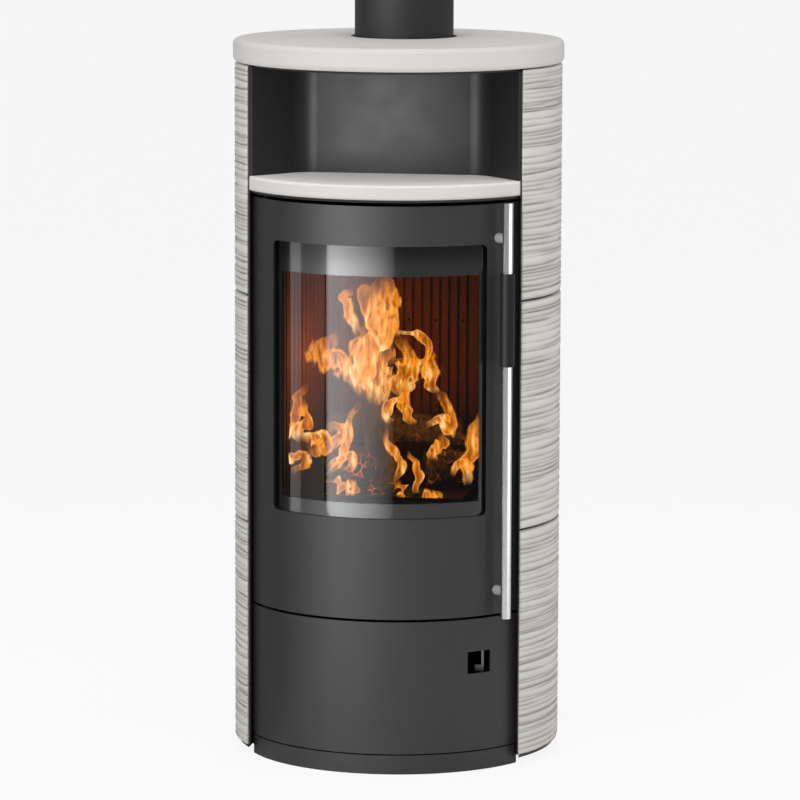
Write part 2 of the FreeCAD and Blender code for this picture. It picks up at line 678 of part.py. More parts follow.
def lining_side(side):
    """A ribbed side plate, from the front plate to just past the back plate's face."""
    z0, z1 = HEARTH_TOP, LINING_TOP
    inner = lining_corners(0)
    outer = lining_corners(LINING_THICKNESS)
    front_in, back_in = inner[3], inner[2]
    front_out, back_out = outer[3], outer[2]
    plate = prism([front_in, back_in, (back_in[0], back_out[1]), back_out, front_out], z0, z1)
    length = math.hypot(front_in[0] - back_in[0], front_in[1] - back_in[1])
    along = vec((front_in[0] - back_in[0]) / length, (front_in[1] - back_in[1]) / length, 0)
    degrees = math.degrees(math.atan2(along.y, along.x))
    cuts = []
    for index in range(int(length / RIB_PITCH)):
        start = (index + 1 / 2) * RIB_PITCH
        groove = box(start, start + GROOVE_WIDTH, -GROOVE_DEPTH, GROOVE_DEPTH, z0, z1)
        groove.rotate(vec(0, 0, 0), vec(0, 0, 1), degrees)
        groove.translate(vec(back_in[0], back_in[1], 0))
        cuts.append(groove)
    plate = plate.cut(cuts)
    return plate if side > 0 else plate.mirror(vec(0, 0, 0), vec(1, 0, 0))


def firebox_wall():
    """The welded steel box behind the lining, open at the front."""
    offset = LINING_THICKNESS + LINING_GAP
    front_y = FRONT_PLATE_Y + FRONT_PLATE_THICKNESS
    outer = lining_corners(offset + WALL_SHEET, front_y)
    inner = lining_corners(offset, front_y)
    return prism(outer + inner[::-1], DIVIDER_TOP, LINTEL_Z)


def firebox_front():
    z0 = DIVIDER_TOP + FRONT_PLATE_GAP
    z1 = LINTEL_Z - FRONT_PLATE_GAP
    back_y = FRONT_PLATE_Y + FRONT_PLATE_THICKNESS
    plate = box(-FRONT_PLATE_HALF_WIDTH, FRONT_PLATE_HALF_WIDTH, FRONT_PLATE_Y, back_y, z0, z1)
    fire_z = HEARTH_TOP + STONE_THICKNESS
    fire = box(-FIRE_OPENING_HALF_WIDTH, FIRE_OPENING_HALF_WIDTH, FRONT_PLATE_Y, back_y,
               fire_z, LINTEL_Z - FIRE_OPENING_DROP)
    ash_z = DIVIDER_TOP + ASH_OPENING_BOTTOM
    ash = box(-ASH_OPENING_HALF_WIDTH, ASH_OPENING_HALF_WIDTH, FRONT_PLATE_Y, back_y,
              ash_z, ash_z + ASH_OPENING_HEIGHT)
    low, high = latch_levels()
    half = LATCH_THICKNESS / 2 + LATCH_ROOM
    slot = box(LATCH_X - half, LATCH_X + half, FRONT_PLATE_Y, back_y, low - LATCH_ROOM, high + LATCH_ROOM)
    return plate.cut([fire, ash, slot])


def hearth_plate():
    corners = lining_corners(LINING_THICKNESS + LINING_GAP - SEAT_CLEARANCE)
    plate = prism(corners, HEARTH_Z, HEARTH_TOP)
    half_x = GRATE_HALF_X - GRATE_LEDGE
    half_y = GRATE_HALF_Y - GRATE_LEDGE
    return plate.cut(box(-half_x, half_x, GRATE_Y - half_y, GRATE_Y + half_y, HEARTH_Z, HEARTH_TOP))


def grate():
    z1 = HEARTH_TOP + GRATE_THICKNESS
    plate = box(-GRATE_HALF_X, GRATE_HALF_X, GRATE_Y - GRATE_HALF_Y, GRATE_Y + GRATE_HALF_Y, HEARTH_TOP, z1)
    room = 2 * (GRATE_HALF_X - GRATE_RIM)
    slot_width = (room - GRATE_BAR * (GRATE_SLOTS - 1)) / GRATE_SLOTS
    half_y = GRATE_HALF_Y - GRATE_RIM
    cuts = []
    for index in range(GRATE_SLOTS):
        x = GRATE_RIM - GRATE_HALF_X + index * (slot_width + GRATE_BAR)
        cuts.append(box(x, x + slot_width, GRATE_Y - half_y, GRATE_Y + half_y, HEARTH_TOP, z1))
    return plate.cut(cuts)


def hearth_stones():
    """Four floor stones round the grate."""
    z0, z1 = HEARTH_TOP, HEARTH_TOP + STONE_THICKNESS
    inner = GRATE_HALF_X + STONE_GAP
    outer = LINING_BACK_HALF - STONE_GAP
    front_y = FRONT_PLATE_Y + FRONT_PLATE_THICKNESS + LIP_THICKNESS + STONE_GAP
    back_y = LINING_BACK_Y - STONE_GAP
    near = GRATE_Y - GRATE_HALF_Y - STONE_GAP
    far = GRATE_Y + GRATE_HALF_Y + STONE_GAP
    stones = [box(-outer, -inner, front_y, back_y, z0, z1), box(inner, outer, front_y, back_y, z0, z1)]
    middle = inner - STONE_GAP
    stones.append(box(-middle, middle, front_y, near, z0, z1))
    stones.append(box(-middle, middle, far, back_y, z0, z1))
    return stones


def baffle():
    """The plate over the fire, resting on the lining and open towards the front."""
    outer = lining_corners(LINING_THICKNESS - LINING_GAP)
    plate = prism(outer, LINING_TOP, LINING_TOP + BAFFLE_THICKNESS)
    reach = FIRE_OPENING_HALF_WIDTH + TILE_RADIUS
    return plate.cut(box(-reach, reach, -reach, BAFFLE_FRONT_Y, LINING_TOP, LINING_TOP + BAFFLE_THICKNESS))


def smoke_deflector():
    """A folded steel plate on two legs above the baffle."""
    z0 = LINING_TOP + BAFFLE_THICKNESS
    z1 = z0 + DEFLECTOR_RISE
    front_y, back_y = DEFLECTOR_FRONT_Y, DEFLECTOR_BACK_Y
    pieces = [box(-DEFLECTOR_HALF_WIDTH, DEFLECTOR_HALF_WIDTH, front_y, back_y, z1, z1 + DEFLECTOR_SHEET)]
    for side in (-1, 1):
        low, high = sorted((side * DEFLECTOR_HALF_WIDTH, side * (DEFLECTOR_HALF_WIDTH - DEFLECTOR_SHEET)))
        pieces.append(box(low, high, BAFFLE_FRONT_Y, back_y, z0, z1))
    return fused(pieces)


def hearth_lip():
    """A strip in front of the hearth stones that keeps the embers in."""
    y0 = FRONT_PLATE_Y + FRONT_PLATE_THICKNESS
    top = HEARTH_TOP + STONE_THICKNESS + LIP_HEIGHT
    return box(-LIP_HALF_WIDTH, LIP_HALF_WIDTH, y0, y0 + LIP_THICKNESS, HEARTH_TOP, top)


def ash_pan():
    z0 = DIVIDER_TOP + ASH_RUNNER_HEIGHT
    z1 = z0 + ASH_PAN_HEIGHT
    half, sheet = ASH_PAN_HALF_WIDTH, ASH_PAN_SHEET
    pan = box(-half, half, ASH_PAN_FRONT_Y, ASH_PAN_BACK_Y, z0, z1)
    inside = box(sheet - half, half - sheet, ASH_PAN_FRONT_Y + sheet, ASH_PAN_BACK_Y - sheet, z0 + sheet, z1)
    grip_z = z0 + (ASH_PAN_HEIGHT - ASH_GRIP_HEIGHT) / 2
    grip = box(-ASH_GRIP_HALF_WIDTH, ASH_GRIP_HALF_WIDTH, ASH_PAN_FRONT_Y, ASH_PAN_FRONT_Y + sheet,
               grip_z, grip_z + ASH_GRIP_HEIGHT)
    return pan.cut([inside, grip])


def log_rest(start, end, radius, z):
    """A log lying level between two plan points."""
    return rod(radius, vec(start[0], start[1], z), vec(end[0], end[1], z))


def fire_logs():
    """Two logs on the hearth stones, one across them, and one that leans on it."""
    low_z = HEARTH_TOP + STONE_THICKNESS + SEAT_CLEARANCE + LOG_RADIUS
    logs = [log_rest(LOG_LEFT_START, LOG_LEFT_END, LOG_RADIUS, low_z)]
    logs.append(log_rest(LOG_RIGHT_START, LOG_RIGHT_END, LOG_RADIUS, low_z))
    cross_z = low_z + LOG_RADIUS + CROSS_LOG_RADIUS + SEAT_CLEARANCE
    start, end = (CROSS_LOG_LEFT_X, CROSS_LOG_Y), (CROSS_LOG_RIGHT_X, CROSS_LOG_Y)
    logs.append(log_rest(start, end, CROSS_LOG_RADIUS, cross_z))
    way = vec(LEAN_LOG_SIDE_SLOPE, LEAN_LOG_BACK_SLOPE, 1)
    way.normalize()
    sink = LEAN_LOG_RADIUS * math.hypot(way.x, way.y)
    base_z = HEARTH_TOP + GRATE_THICKNESS + SEAT_CLEARANCE + sink
    touch = LEAN_LOG_RADIUS + CROSS_LOG_RADIUS + SEAT_CLEARANCE
    step = touch * math.hypot(1, LEAN_LOG_BACK_SLOPE) + (cross_z - base_z) * LEAN_LOG_BACK_SLOPE
    base = vec(LEAN_LOG_X, CROSS_LOG_Y - step, base_z)
    logs.append(rod(LEAN_LOG_RADIUS, base, base.add(way.multiply(LEAN_LOG_LENGTH))))
    return logs


# Fire door

def cutout():
    """The space of the door's rectangular cut-out."""
    z0 = FIRE_DOOR_Z + CUTOUT_BOTTOM
    opening = box(-CUTOUT_HALF_WIDTH, CUTOUT_HALF_WIDTH, -PANEL_RADIUS - OVERRUN, 0, z0, z0 + CUTOUT_HEIGHT)
    along = [edge for edge in opening.Edges if abs(edge.Vertexes[0].Y - edge.Vertexes[-1].Y) > OVERRUN]
    return opening.makeFillet(CUTOUT_CORNER, along)


def door_panel():
    panel = front_arc(DOOR_INNER, PANEL_RADIUS, PANEL_HALF_WIDTH, FIRE_DOOR_Z, FIRE_DOOR_TOP)
    holes = []
    for level in peg_levels():
        x0, y0 = at_angle(DOOR_INNER - OVERRUN, BAR_ANGLE)
        x1, y1 = at_angle(PANEL_RADIUS + OVERRUN, BAR_ANGLE)
        holes.append(rod(PEG_TENON_RADIUS + SCREW_CLEARANCE, vec(x0, y0, level), vec(x1, y1, level)))
    return panel.cut([cutout()] + holes)


def door_glass():
    z0 = FIRE_DOOR_Z + CUTOUT_BOTTOM - GLASS_LAP
    z1 = z0 + CUTOUT_HEIGHT + 2 * GLASS_LAP
    half = CUTOUT_HALF_WIDTH + GLASS_LAP / 2
    return front_arc(GLASS_INNER, GLASS_OUTER - SEAT_CLEARANCE, half, z0, z1)


def glass_gasket():
    z0 = FIRE_DOOR_Z + CUTOUT_BOTTOM - GASKET_WIDTH
    z1 = z0 + CUTOUT_HEIGHT + 2 * GASKET_WIDTH
    half = CUTOUT_HALF_WIDTH + GLASS_LAP / 2
    sheet = front_arc(GLASS_OUTER, DOOR_INNER - SEAT_CLEARANCE, half, z0, z1)
    return sheet.cut(cutout())


def clip_levels():
    low = FIRE_DOOR_Z + CUTOUT_BOTTOM - GLASS_LAP
    high = low + CUTOUT_HEIGHT + 2 * GLASS_LAP
    return low, high


def glass_clips():
    """Bent clips that hold the glass against the panel, above and below it."""
    clips = []
    low, high = clip_levels()
    inner = GLASS_INNER - SEAT_CLEARANCE
    for level, way in ((low, -1), (high, 1)):
        foot = sorted((level + way * SEAT_CLEARANCE, level + way * (CLIP_LENGTH / 2)))
        lip = sorted((level - way * GASKET_WIDTH, level + way * (CLIP_LENGTH / 2)))
        zone = box(-CLIP_WIDTH / 2, CLIP_WIDTH / 2, -PANEL_RADIUS, 0, lip[0], lip[1])
        post = ring(inner - CLIP_THICKNESS, DOOR_INNER - SEAT_CLEARANCE, foot[0], foot[1])
        tongue = ring(inner - CLIP_THICKNESS, inner, lip[0], lip[1])
        clip = fused([post.common(zone), tongue.common(zone)])
        middle = (foot[0] + foot[1]) / 2
        hole = rod(CLIP_SCREW_RADIUS + SCREW_CLEARANCE, vec(0, -PANEL_RADIUS, middle), vec(0, 0, middle))
        clip = clip.cut(hole)
        clips.extend([turned(clip, angle) for angle in CLIP_ANGLES])
    return clips


def clip_screws():
    """Pan-head screws through the clips, one each."""
    screws = []
    low, high = clip_levels()
    inner = GLASS_INNER - SEAT_CLEARANCE - CLIP_THICKNESS
    for level, way in ((low, -1), (high, 1)):
        middle = level + way * (SEAT_CLEARANCE + CLIP_LENGTH / 2) / 2
        shank = rod(CLIP_SCREW_RADIUS, vec(0, SEAT_CLEARANCE - DOOR_INNER, middle), vec(0, -inner, middle))
        head_y = SEAT_CLEARANCE - inner
        head = rod(CLIP_HEAD_RADIUS, vec(0, head_y, middle), vec(0, head_y + CLIP_HEAD_HEIGHT, middle))
        neck = rod(CLIP_SCREW_RADIUS, vec(0, -inner, middle), vec(0, head_y, middle))
        screw = fused([shank, neck, head])
        screws.extend([turned(screw, angle) for angle in CLIP_ANGLES])
    return screws


def frame_plan(radius, half_width, z0, z1):
    """The plan between the curved panel and the door frame's flat back."""
    zone = box(-half_width, half_width, -PANEL_RADIUS, FRAME_BACK_Y, z0, z1)
    return disc(radius, z0, z1).common(zone)


def door_frame():
    """A folded steel frame that gives the curved panel a flat back."""
    radius = DOOR_INNER - SEAT_CLEARANCE
    outside = frame_plan(radius, FRAME_HALF_WIDTH, FRAME_Z, FRAME_TOP)
    half = FRAME_HALF_WIDTH - FRAME_SHEET
    back_y = FRAME_BACK_Y - FRAME_SHEET
    hollow = box(-half, half, -PANEL_RADIUS, back_y, FRAME_Z + FRAME_SHEET, FRAME_TOP - FRAME_SHEET)
    half = FRAME_HALF_WIDTH - FLANGE_WIDTH
    window = box(-half, half, -PANEL_RADIUS, 0, FRAME_Z + FLANGE_WIDTH, FRAME_TOP - FLANGE_WIDTH)
    return outside.cut([hollow, window, hinge_hole(FRAME_Z, FRAME_TOP)])


def door_seal():
    """The rope seal on the back of the frame."""
    y1 = FRAME_BACK_Y + SEAL_THICKNESS
    outer = FRAME_HALF_WIDTH - SEAL_SIDE_INSET
    inner = outer - SEAL_WIDTH
    z0, z1 = FRAME_Z + SEAL_END_INSET, FRAME_TOP - SEAL_END_INSET
    rope = box(-outer, outer, FRAME_BACK_Y, y1, z0, z1)
    return rope.cut(box(-inner, inner, FRAME_BACK_Y, y1, z0 + SEAL_WIDTH, z1 - SEAL_WIDTH))


def fire_door_pins():
    low = DIVIDER_TOP + HINGE_END_GAP
    lower = disc(HINGE_PIN_RADIUS, low, FRAME_Z + FRAME_SHEET, HINGE_X, HINGE_Y)
    high = LINTEL_TOP - HINGE_END_GAP
    upper = disc(HINGE_PIN_RADIUS, FRAME_TOP - FRAME_SHEET, high, HINGE_X, HINGE_Y)
    return [lower, upper]


def hinge_arm(reach, z0, z1):
    """A round boss at the hinge with an arm to its right, clear of the turning panel's left edge."""
    corners = [(HINGE_X, HINGE_Y)]
    for degrees in HINGE_ARM_ANGLES:
        turn = math.radians(degrees)
        corners.append((HINGE_X + 2 * reach * math.cos(turn), HINGE_Y + 2 * reach * math.sin(turn)))
    arm = prism(corners, z0, z1).common(disc(reach, z0, z1, HINGE_X, HINGE_Y))
    return fused([disc(HINGE_BOSS_RADIUS, z0, z1, HINGE_X, HINGE_Y), arm])


def hinge_block():
    """The middle bearing, on the divider plate's left front corner."""
    top = DIVIDER_TOP + HINGE_BLOCK_HEIGHT
    block = hinge_arm(HINGE_BLOCK_REACH, DIVIDER_TOP, top)
    block = block.common(disc(DIVIDER_FRONT_RADIUS, DIVIDER_TOP, top))
    return block.cut(hinge_hole(DIVIDER_TOP, top))


def peg_levels():
    return FIRE_DOOR_Z + PEG_LOW, FIRE_DOOR_TOP - PEG_TOP_MARGIN


def bar_place():
    return at_angle(PANEL_RADIUS + BAR_OFFSET, BAR_ANGLE)


def handle_bar():
    x, y = bar_place()
    return disc(BAR_RADIUS, FIRE_DOOR_Z - BAR_BELOW, FIRE_DOOR_TOP + BAR_ABOVE, x, y)


def handle_grip():
    x, y = bar_place()
    z0 = FIRE_DOOR_Z + FIRE_DOOR_HEIGHT * GRIP_LOW_SHARE
    return ring(BAR_RADIUS + SCREW_CLEARANCE, GRIP_RADIUS, z0, z0 + GRIP_LENGTH, x, y)


def handle_pegs():
    """Round pegs between the panel and the bar, each with a tenon riveted into the panel."""
    x, y = bar_place()
    pegs = []
    for level in peg_levels():
        z0, z1 = level - OVERRUN, level + OVERRUN
        x0, y0 = at_angle(PANEL_RADIUS / 2, BAR_ANGLE)
        peg = rod(PEG_RADIUS, vec(x0, y0, level), vec(x, y, level))
        peg = peg.cut(disc(PANEL_RADIUS + SCREW_CLEARANCE, z0, z1))
        x1, y1 = at_angle(DOOR_INNER, BAR_ANGLE)
        tenon = rod(PEG_TENON_RADIUS, vec(x1, y1, level), vec(x, y, level))
        pegs.append(fused([peg, tenon]).cut(disc(BAR_RADIUS + SCREW_CLEARANCE, z0, z1, x, y)))
    return pegs


def latch_levels():
    low = FIRE_DOOR_TOP - LATCH_DROP
    return low, low + LATCH_HEIGHT


def latch_tongue():
    low, high = latch_levels()
    half = LATCH_THICKNESS / 2
    return box(LATCH_X - half, LATCH_X + half, FRAME_BACK_Y, FRAME_BACK_Y + LATCH_REACH, low, high)


def latch_keeper():
    """A bent strip behind the front plate, beside the tongue."""
    low, high = latch_levels()
    y0 = FRONT_PLATE_Y + FRONT_PLATE_THICKNESS
    x1 = LATCH_X - LATCH_THICKNESS / 2 - LATCH_ROOM
    return box(x1 - KEEPER_THICKNESS, x1, y0, y0 + KEEPER_DEPTH, low, high)


# Divider and wood compartment

def divider_plate():
    """The floor under the firebox, with two welded bars that the ash pan stands on."""
    plate = front_plate_outline(DIVIDER_FRONT_RADIUS, DIVIDER_HALF_WIDTH, DIVIDER_Z, DIVIDER_TOP)
    bars = []
    for side in (-1, 1):
        low, high = sorted((side * (ASH_PAN_HALF_WIDTH - ASH_RUNNER_WIDTH), side * ASH_PAN_HALF_WIDTH))
        top = DIVIDER_TOP + ASH_RUNNER_HEIGHT
        bars.append(box(low, high, ASH_PAN_FRONT_Y, ASH_PAN_BACK_Y, DIVIDER_TOP, top))
    plate = fused([plate] + bars)
    inset = 2 * VALVE_SHEET
    port = box(VALVE_LEFT_X + inset, VALVE_RIGHT_X - inset, VALVE_FRONT_Y + inset, VALVE_BACK_Y - inset,
               DIVIDER_Z, DIVIDER_TOP)
    notch = disc(HINGE_SWEEP, DIVIDER_Z, DIVIDER_TOP, HINGE_X, HINGE_Y)
    notch = notch.cut(hinge_arm(2 * HINGE_SWEEP, DIVIDER_Z, DIVIDER_TOP))
    return plate.cut([notch, hinge_hole(DIVIDER_Z, DIVIDER_TOP), port])


def wood_back():
    half = WOOD_BACK_Y
    sheet = box(-half, half, WOOD_BACK_Y, WOOD_BACK_Y + WOOD_BACK_SHEET,
                BASE_TOP, DIVIDER_Z)
    inset = VALVE_SHEET
    port = box(DUCT_LEFT_X + inset, DUCT_RIGHT_X - inset, WOOD_BACK_Y, WOOD_BACK_Y + WOOD_BACK_SHEET,
               DIVIDER_Z - VALVE_HEIGHT + inset, DIVIDER_Z - inset)
    return sheet.cut(port)


def window_space():
    """The lower door's small window, cut on two radial planes."""
    z1 = WOOD_DOOR_TOP - WINDOW_DROP
    reach = PANEL_RADIUS + OVERRUN
    right = at_angle(reach, WINDOW_RIGHT_ANGLE)
    left = at_angle(reach, WINDOW_LEFT_ANGLE)
    return prism([(0, 0), left, right], z1 - WINDOW_HEIGHT, z1)


def wood_door_panel():
    inner = PANEL_RADIUS - WOOD_DOOR_SHEET
    panel = front_arc(inner, PANEL_RADIUS, PANEL_HALF_WIDTH, WOOD_DOOR_Z, WOOD_DOOR_TOP)
    return panel.cut(window_space())


def wood_door_stiffener():
    """Two flat ribs behind the panel with the hinge holes; the upper one stops before the air valve."""
    outer = PANEL_RADIUS - WOOD_DOOR_SHEET - SEAT_CLEARANCE
    low = WOOD_DOOR_Z + STIFFENER_MARGIN
    high = DIVIDER_Z - STIFFENER_MARGIN - STIFFENER_SHEET
    ribs = []
    for z0, end_x in ((low, STIFFENER_HALF_WIDTH), (high, VALVE_LEFT_X - SIDE_GAP)):
        z1 = z0 + STIFFENER_SHEET
        rib = front_arc(outer - STIFFENER_DEPTH, outer, STIFFENER_HALF_WIDTH, z0, z1)
        rest = box(end_x, PANEL_RADIUS + OVERRUN, -PANEL_RADIUS, 0, z0, z1)
        ribs.append(rib.cut([hinge_hole(z0, z1), rest]))
    return ribs


def wood_door_pins():
    low = FOOT_HEIGHT + HINGE_END_GAP
    rib_low = WOOD_DOOR_Z + STIFFENER_MARGIN + STIFFENER_SHEET
    lower = disc(HINGE_PIN_RADIUS, low, rib_low, HINGE_X, HINGE_Y)
    rib_high = DIVIDER_Z - STIFFENER_MARGIN - STIFFENER_SHEET
    upper = disc(HINGE_PIN_RADIUS, rib_high, DIVIDER_TOP - HINGE_END_GAP, HINGE_X, HINGE_Y)
    return [lower, upper]


def door_magnet():
    z0 = DIVIDER_Z - MAGNET_HEIGHT
    back = MAGNET_FRONT_Y + MAGNET_DEPTH
    return box(MAGNET_X, MAGNET_X + MAGNET_WIDTH, MAGNET_FRONT_Y, back, z0, DIVIDER_Z)


def door_striker():
    """A small plate behind the lower door's right edge that the magnet holds."""
    outer = PANEL_RADIUS - WOOD_DOOR_SHEET - SEAT_CLEARANCE
    z0 = DIVIDER_Z - MAGNET_HEIGHT
    z1 = DIVIDER_Z - STIFFENER_MARGIN - STIFFENER_SHEET
    front = MAGNET_FRONT_Y - SEAT_CLEARANCE
    block = box(MAGNET_X, MAGNET_X + MAGNET_WIDTH, -PANEL_RADIUS, front, z0, z1)
    return block.common(disc(outer, z0, z1))


# Air control

def air_valve_box():
    """A folded box under the divider, with a slot for the lever in its front."""
    z0 = DIVIDER_Z - VALVE_HEIGHT
    sheet = VALVE_SHEET
    outside = box(VALVE_LEFT_X, VALVE_RIGHT_X, VALVE_FRONT_Y, VALVE_BACK_Y, z0, DIVIDER_Z)
    inside = box(VALVE_LEFT_X + sheet, VALVE_RIGHT_X - sheet, VALVE_FRONT_Y + sheet, VALVE_BACK_Y - sheet,
                 z0 + sheet, DIVIDER_Z)
    half = LEVER_WIDTH / 2 + SLIDER_ROOM
    slot_z = z0 + SLIDER_RISE - SLIDER_ROOM / 2
    slot = box(LEVER_X - half - SLIDER_TRAVEL_LEFT, LEVER_X + half + SLIDER_TRAVEL_RIGHT,
               VALVE_FRONT_Y - sheet, VALVE_FRONT_Y + sheet, slot_z, slot_z + SLIDER_THICKNESS + SLIDER_ROOM)
    inlet = box(max(VALVE_LEFT_X, DUCT_LEFT_X) + sheet, min(VALVE_RIGHT_X, DUCT_RIGHT_X) - sheet,
                VALVE_BACK_Y - sheet, VALVE_BACK_Y, z0 + sheet, DIVIDER_Z - sheet)
    shelf_z = z0 + SLIDER_RISE - SEAT_CLEARANCE
    shelf = box(VALVE_LEFT_X, VALVE_RIGHT_X, VALVE_FRONT_Y + sheet, VALVE_FRONT_Y + 2 * sheet, z0, shelf_z)
    return fused([outside.cut([inside, slot, inlet]), shelf])


def air_slider():
    """The throttle plate with its neck, upright lever and finger tab."""
    z0 = DIVIDER_Z - VALVE_HEIGHT + SLIDER_RISE
    z1 = z0 + SLIDER_THICKNESS
    sheet, room = VALVE_SHEET, SLIDER_ROOM
    low = VALVE_LEFT_X + sheet + room + SLIDER_TRAVEL_LEFT
    high = VALVE_RIGHT_X - sheet - room - SLIDER_TRAVEL_RIGHT
    plate = box(low, high, VALVE_FRONT_Y + sheet + room, VALVE_BACK_Y - sheet - room, z0, z1)
    left, right = LEVER_X - LEVER_WIDTH / 2, LEVER_X + LEVER_WIDTH / 2
    neck = box(left, right, LEVER_Y, VALVE_FRONT_Y + sheet + room, z0, z1)
    lever = box(left, right, LEVER_Y, LEVER_Y + LEVER_THICKNESS, z1 - LEVER_DROP, z1)
    tab_z = z1 - LEVER_DROP + TAB_RISE
    tab = box(left - TAB_WIDTH, left, LEVER_Y, LEVER_Y + LEVER_THICKNESS, tab_z, tab_z + TAB_HEIGHT)
    return fused([plate, neck, lever, tab])


def air_duct():
    """A rectangular tube from the rear space to the air valve."""
    z0, z1 = DIVIDER_Z - VALVE_HEIGHT, DIVIDER_Z
    sheet = VALVE_SHEET
    outside = box(DUCT_LEFT_X, DUCT_RIGHT_X, VALVE_BACK_Y, WOOD_BACK_Y, z0, z1)
    inside = box(DUCT_LEFT_X + sheet, DUCT_RIGHT_X - sheet, VALVE_BACK_Y, WOOD_BACK_Y, z0 + sheet, z1 - sheet)
    return outside.cut(inside)


# Rear side

def cover_screw_places():
    room = CARCASS_TOP_Z - BASE_TOP - 2 * COVER_SCREW_MARGIN
    low = BASE_TOP + COVER_SCREW_MARGIN
    levels = [low + room * row / (COVER_SCREW_ROWS - 1) for row in range(COVER_SCREW_ROWS)]
    return [(side * RAIL_X, level) for side in (-1, 1) for level in levels]


def screw_hole(x, level):
    radius = COVER_SCREW_RADIUS + SCREW_CLEARANCE
    return rod(radius, vec(x, BACK_Y - OVERRUN, level), vec(x, BACK_Y + OVERRUN, level))


def rear_rails():
    rails = []
    for side in (-1, 1):
        x = side * RAIL_X
        rail = box(x - RAIL_WIDTH / 2, x + RAIL_WIDTH / 2, BACK_Y - RAIL_THICKNESS, BACK_Y,
                   BASE_TOP, CARCASS_TOP_Z)
        rails.append(rail.cut([screw_hole(px, level) for px, level in cover_screw_places()]))
    return rails


def rear_cover():
    cover = box(-COVER_HALF_WIDTH, COVER_HALF_WIDTH, BACK_Y, BACK_Y + COVER_SHEET, BASE_TOP, BODY_TOP)
    cuts = [screw_hole(x, level) for x, level in cover_screw_places()]
    for row in range(VENT_COUNT):
        z1 = BODY_TOP - VENT_DROP - row * VENT_PITCH
        cuts.append(box(-VENT_WIDTH / 2, VENT_WIDTH / 2, BACK_Y, BACK_Y + COVER_SHEET, z1 - VENT_HEIGHT, z1))
    neck = AIR_SPIGOT_RADIUS - AIR_NECK_STEP + SEAT_CLEARANCE
    cuts.append(rod(neck, vec(0, BACK_Y - OVERRUN, AIR_SPIGOT_Z), vec(0, BACK_Y + OVERRUN, AIR_SPIGOT_Z)))
    return cover.cut(cuts)


def cover_screws():
    screws = []
    face = BACK_Y + COVER_SHEET
    for x, level in cover_screw_places():
        shank = rod(COVER_SCREW_RADIUS, vec(x, BACK_Y - RAIL_THICKNESS, level), vec(x, face, level))
        end = vec(x, face + COVER_SCREW_HEAD_HEIGHT, level)
        head = rod(COVER_SCREW_HEAD_RADIUS, vec(x, face, level), end)
        screws.append(fused([shank, head]))
    return screws


def air_spigot():
    """The combustion air connection on the rear cover."""
    face = BACK_Y + COVER_SHEET
    start = vec(0, BACK_Y - RAIL_THICKNESS, AIR_SPIGOT_Z)
    neck = rod(AIR_SPIGOT_RADIUS - AIR_NECK_STEP, start, vec(0, face, AIR_SPIGOT_Z))
    step = vec(0, face + AIR_FLANGE_THICKNESS, AIR_SPIGOT_Z)
    flange = rod(AIR_FLANGE_RADIUS, vec(0, face, AIR_SPIGOT_Z), step)
    end = vec(0, face + AIR_FLANGE_THICKNESS + AIR_SPIGOT_LENGTH, AIR_SPIGOT_Z)
    tube = rod(AIR_SPIGOT_RADIUS, step, end)
    bore = rod(AIR_SPIGOT_RADIUS - AIR_NECK_STEP - AIR_SPIGOT_WALL, start, end)
    return fused([neck, flange, tube]).cut(bore)


def main():
    os.makedirs("parts", exist_ok=True)
    makers = (base_plate, levelling_feet, plinth_front, carcass_sides, carcass_top, top_plate, tile_ledges,
              tile_spacers, niche_wall, shelf_plate, firebox_top, flue_spigot, flue_pipe, lining_back,
              firebox_wall, firebox_front, hearth_plate, grate, hearth_stones, baffle, smoke_deflector,
              hearth_lip, ash_pan, fire_logs, door_panel, door_glass, glass_gasket, glass_clips,
              clip_screws, door_frame, door_seal, fire_door_pins, hinge_block, handle_bar, handle_grip,
              handle_pegs, latch_tongue, latch_keeper, divider_plate, wood_back, wood_door_panel,
              wood_door_stiffener, wood_door_pins, door_magnet, door_striker, air_valve_box, air_slider,
              air_duct, rear_rails, rear_cover, cover_screws, air_spigot)
    for maker in makers:
        export(maker.__name__, maker())
    for side, side_name in ((-1, "left"), (1, "right")):
        export("lining_" + side_name, lining_side(side))
        for tier, tier_name in enumerate(("lower", "middle", "upper")[:TILE_TIERS]):
            export("tile_" + side_name + "_" + tier_name, side_tile(side, tier))


main()
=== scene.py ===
"""Looks of a round wood stove with raked ceramic tiles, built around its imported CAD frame."""

from __future__ import annotations

import bisect
import logging
import math
import random
from dataclasses import dataclass
from enum import Enum
from functools import cache

import bmesh
import bpy
from mathutils import Matrix, Vector, noise

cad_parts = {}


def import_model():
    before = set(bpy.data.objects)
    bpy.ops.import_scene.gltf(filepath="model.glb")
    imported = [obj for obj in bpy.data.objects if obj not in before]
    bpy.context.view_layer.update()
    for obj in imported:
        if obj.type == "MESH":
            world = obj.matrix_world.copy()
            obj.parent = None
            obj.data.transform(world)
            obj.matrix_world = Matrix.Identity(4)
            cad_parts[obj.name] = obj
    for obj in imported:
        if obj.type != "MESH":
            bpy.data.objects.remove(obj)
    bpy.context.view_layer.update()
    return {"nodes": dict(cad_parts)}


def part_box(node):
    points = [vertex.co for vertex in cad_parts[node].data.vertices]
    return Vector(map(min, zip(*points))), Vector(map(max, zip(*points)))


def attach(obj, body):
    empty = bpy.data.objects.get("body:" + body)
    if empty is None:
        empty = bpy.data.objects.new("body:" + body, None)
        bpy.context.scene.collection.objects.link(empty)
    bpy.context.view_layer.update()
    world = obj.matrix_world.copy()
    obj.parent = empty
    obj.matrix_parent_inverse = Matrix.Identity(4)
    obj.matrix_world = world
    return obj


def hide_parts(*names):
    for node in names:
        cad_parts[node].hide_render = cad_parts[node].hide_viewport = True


LOG = logging.getLogger("stove")
MM = 0.001

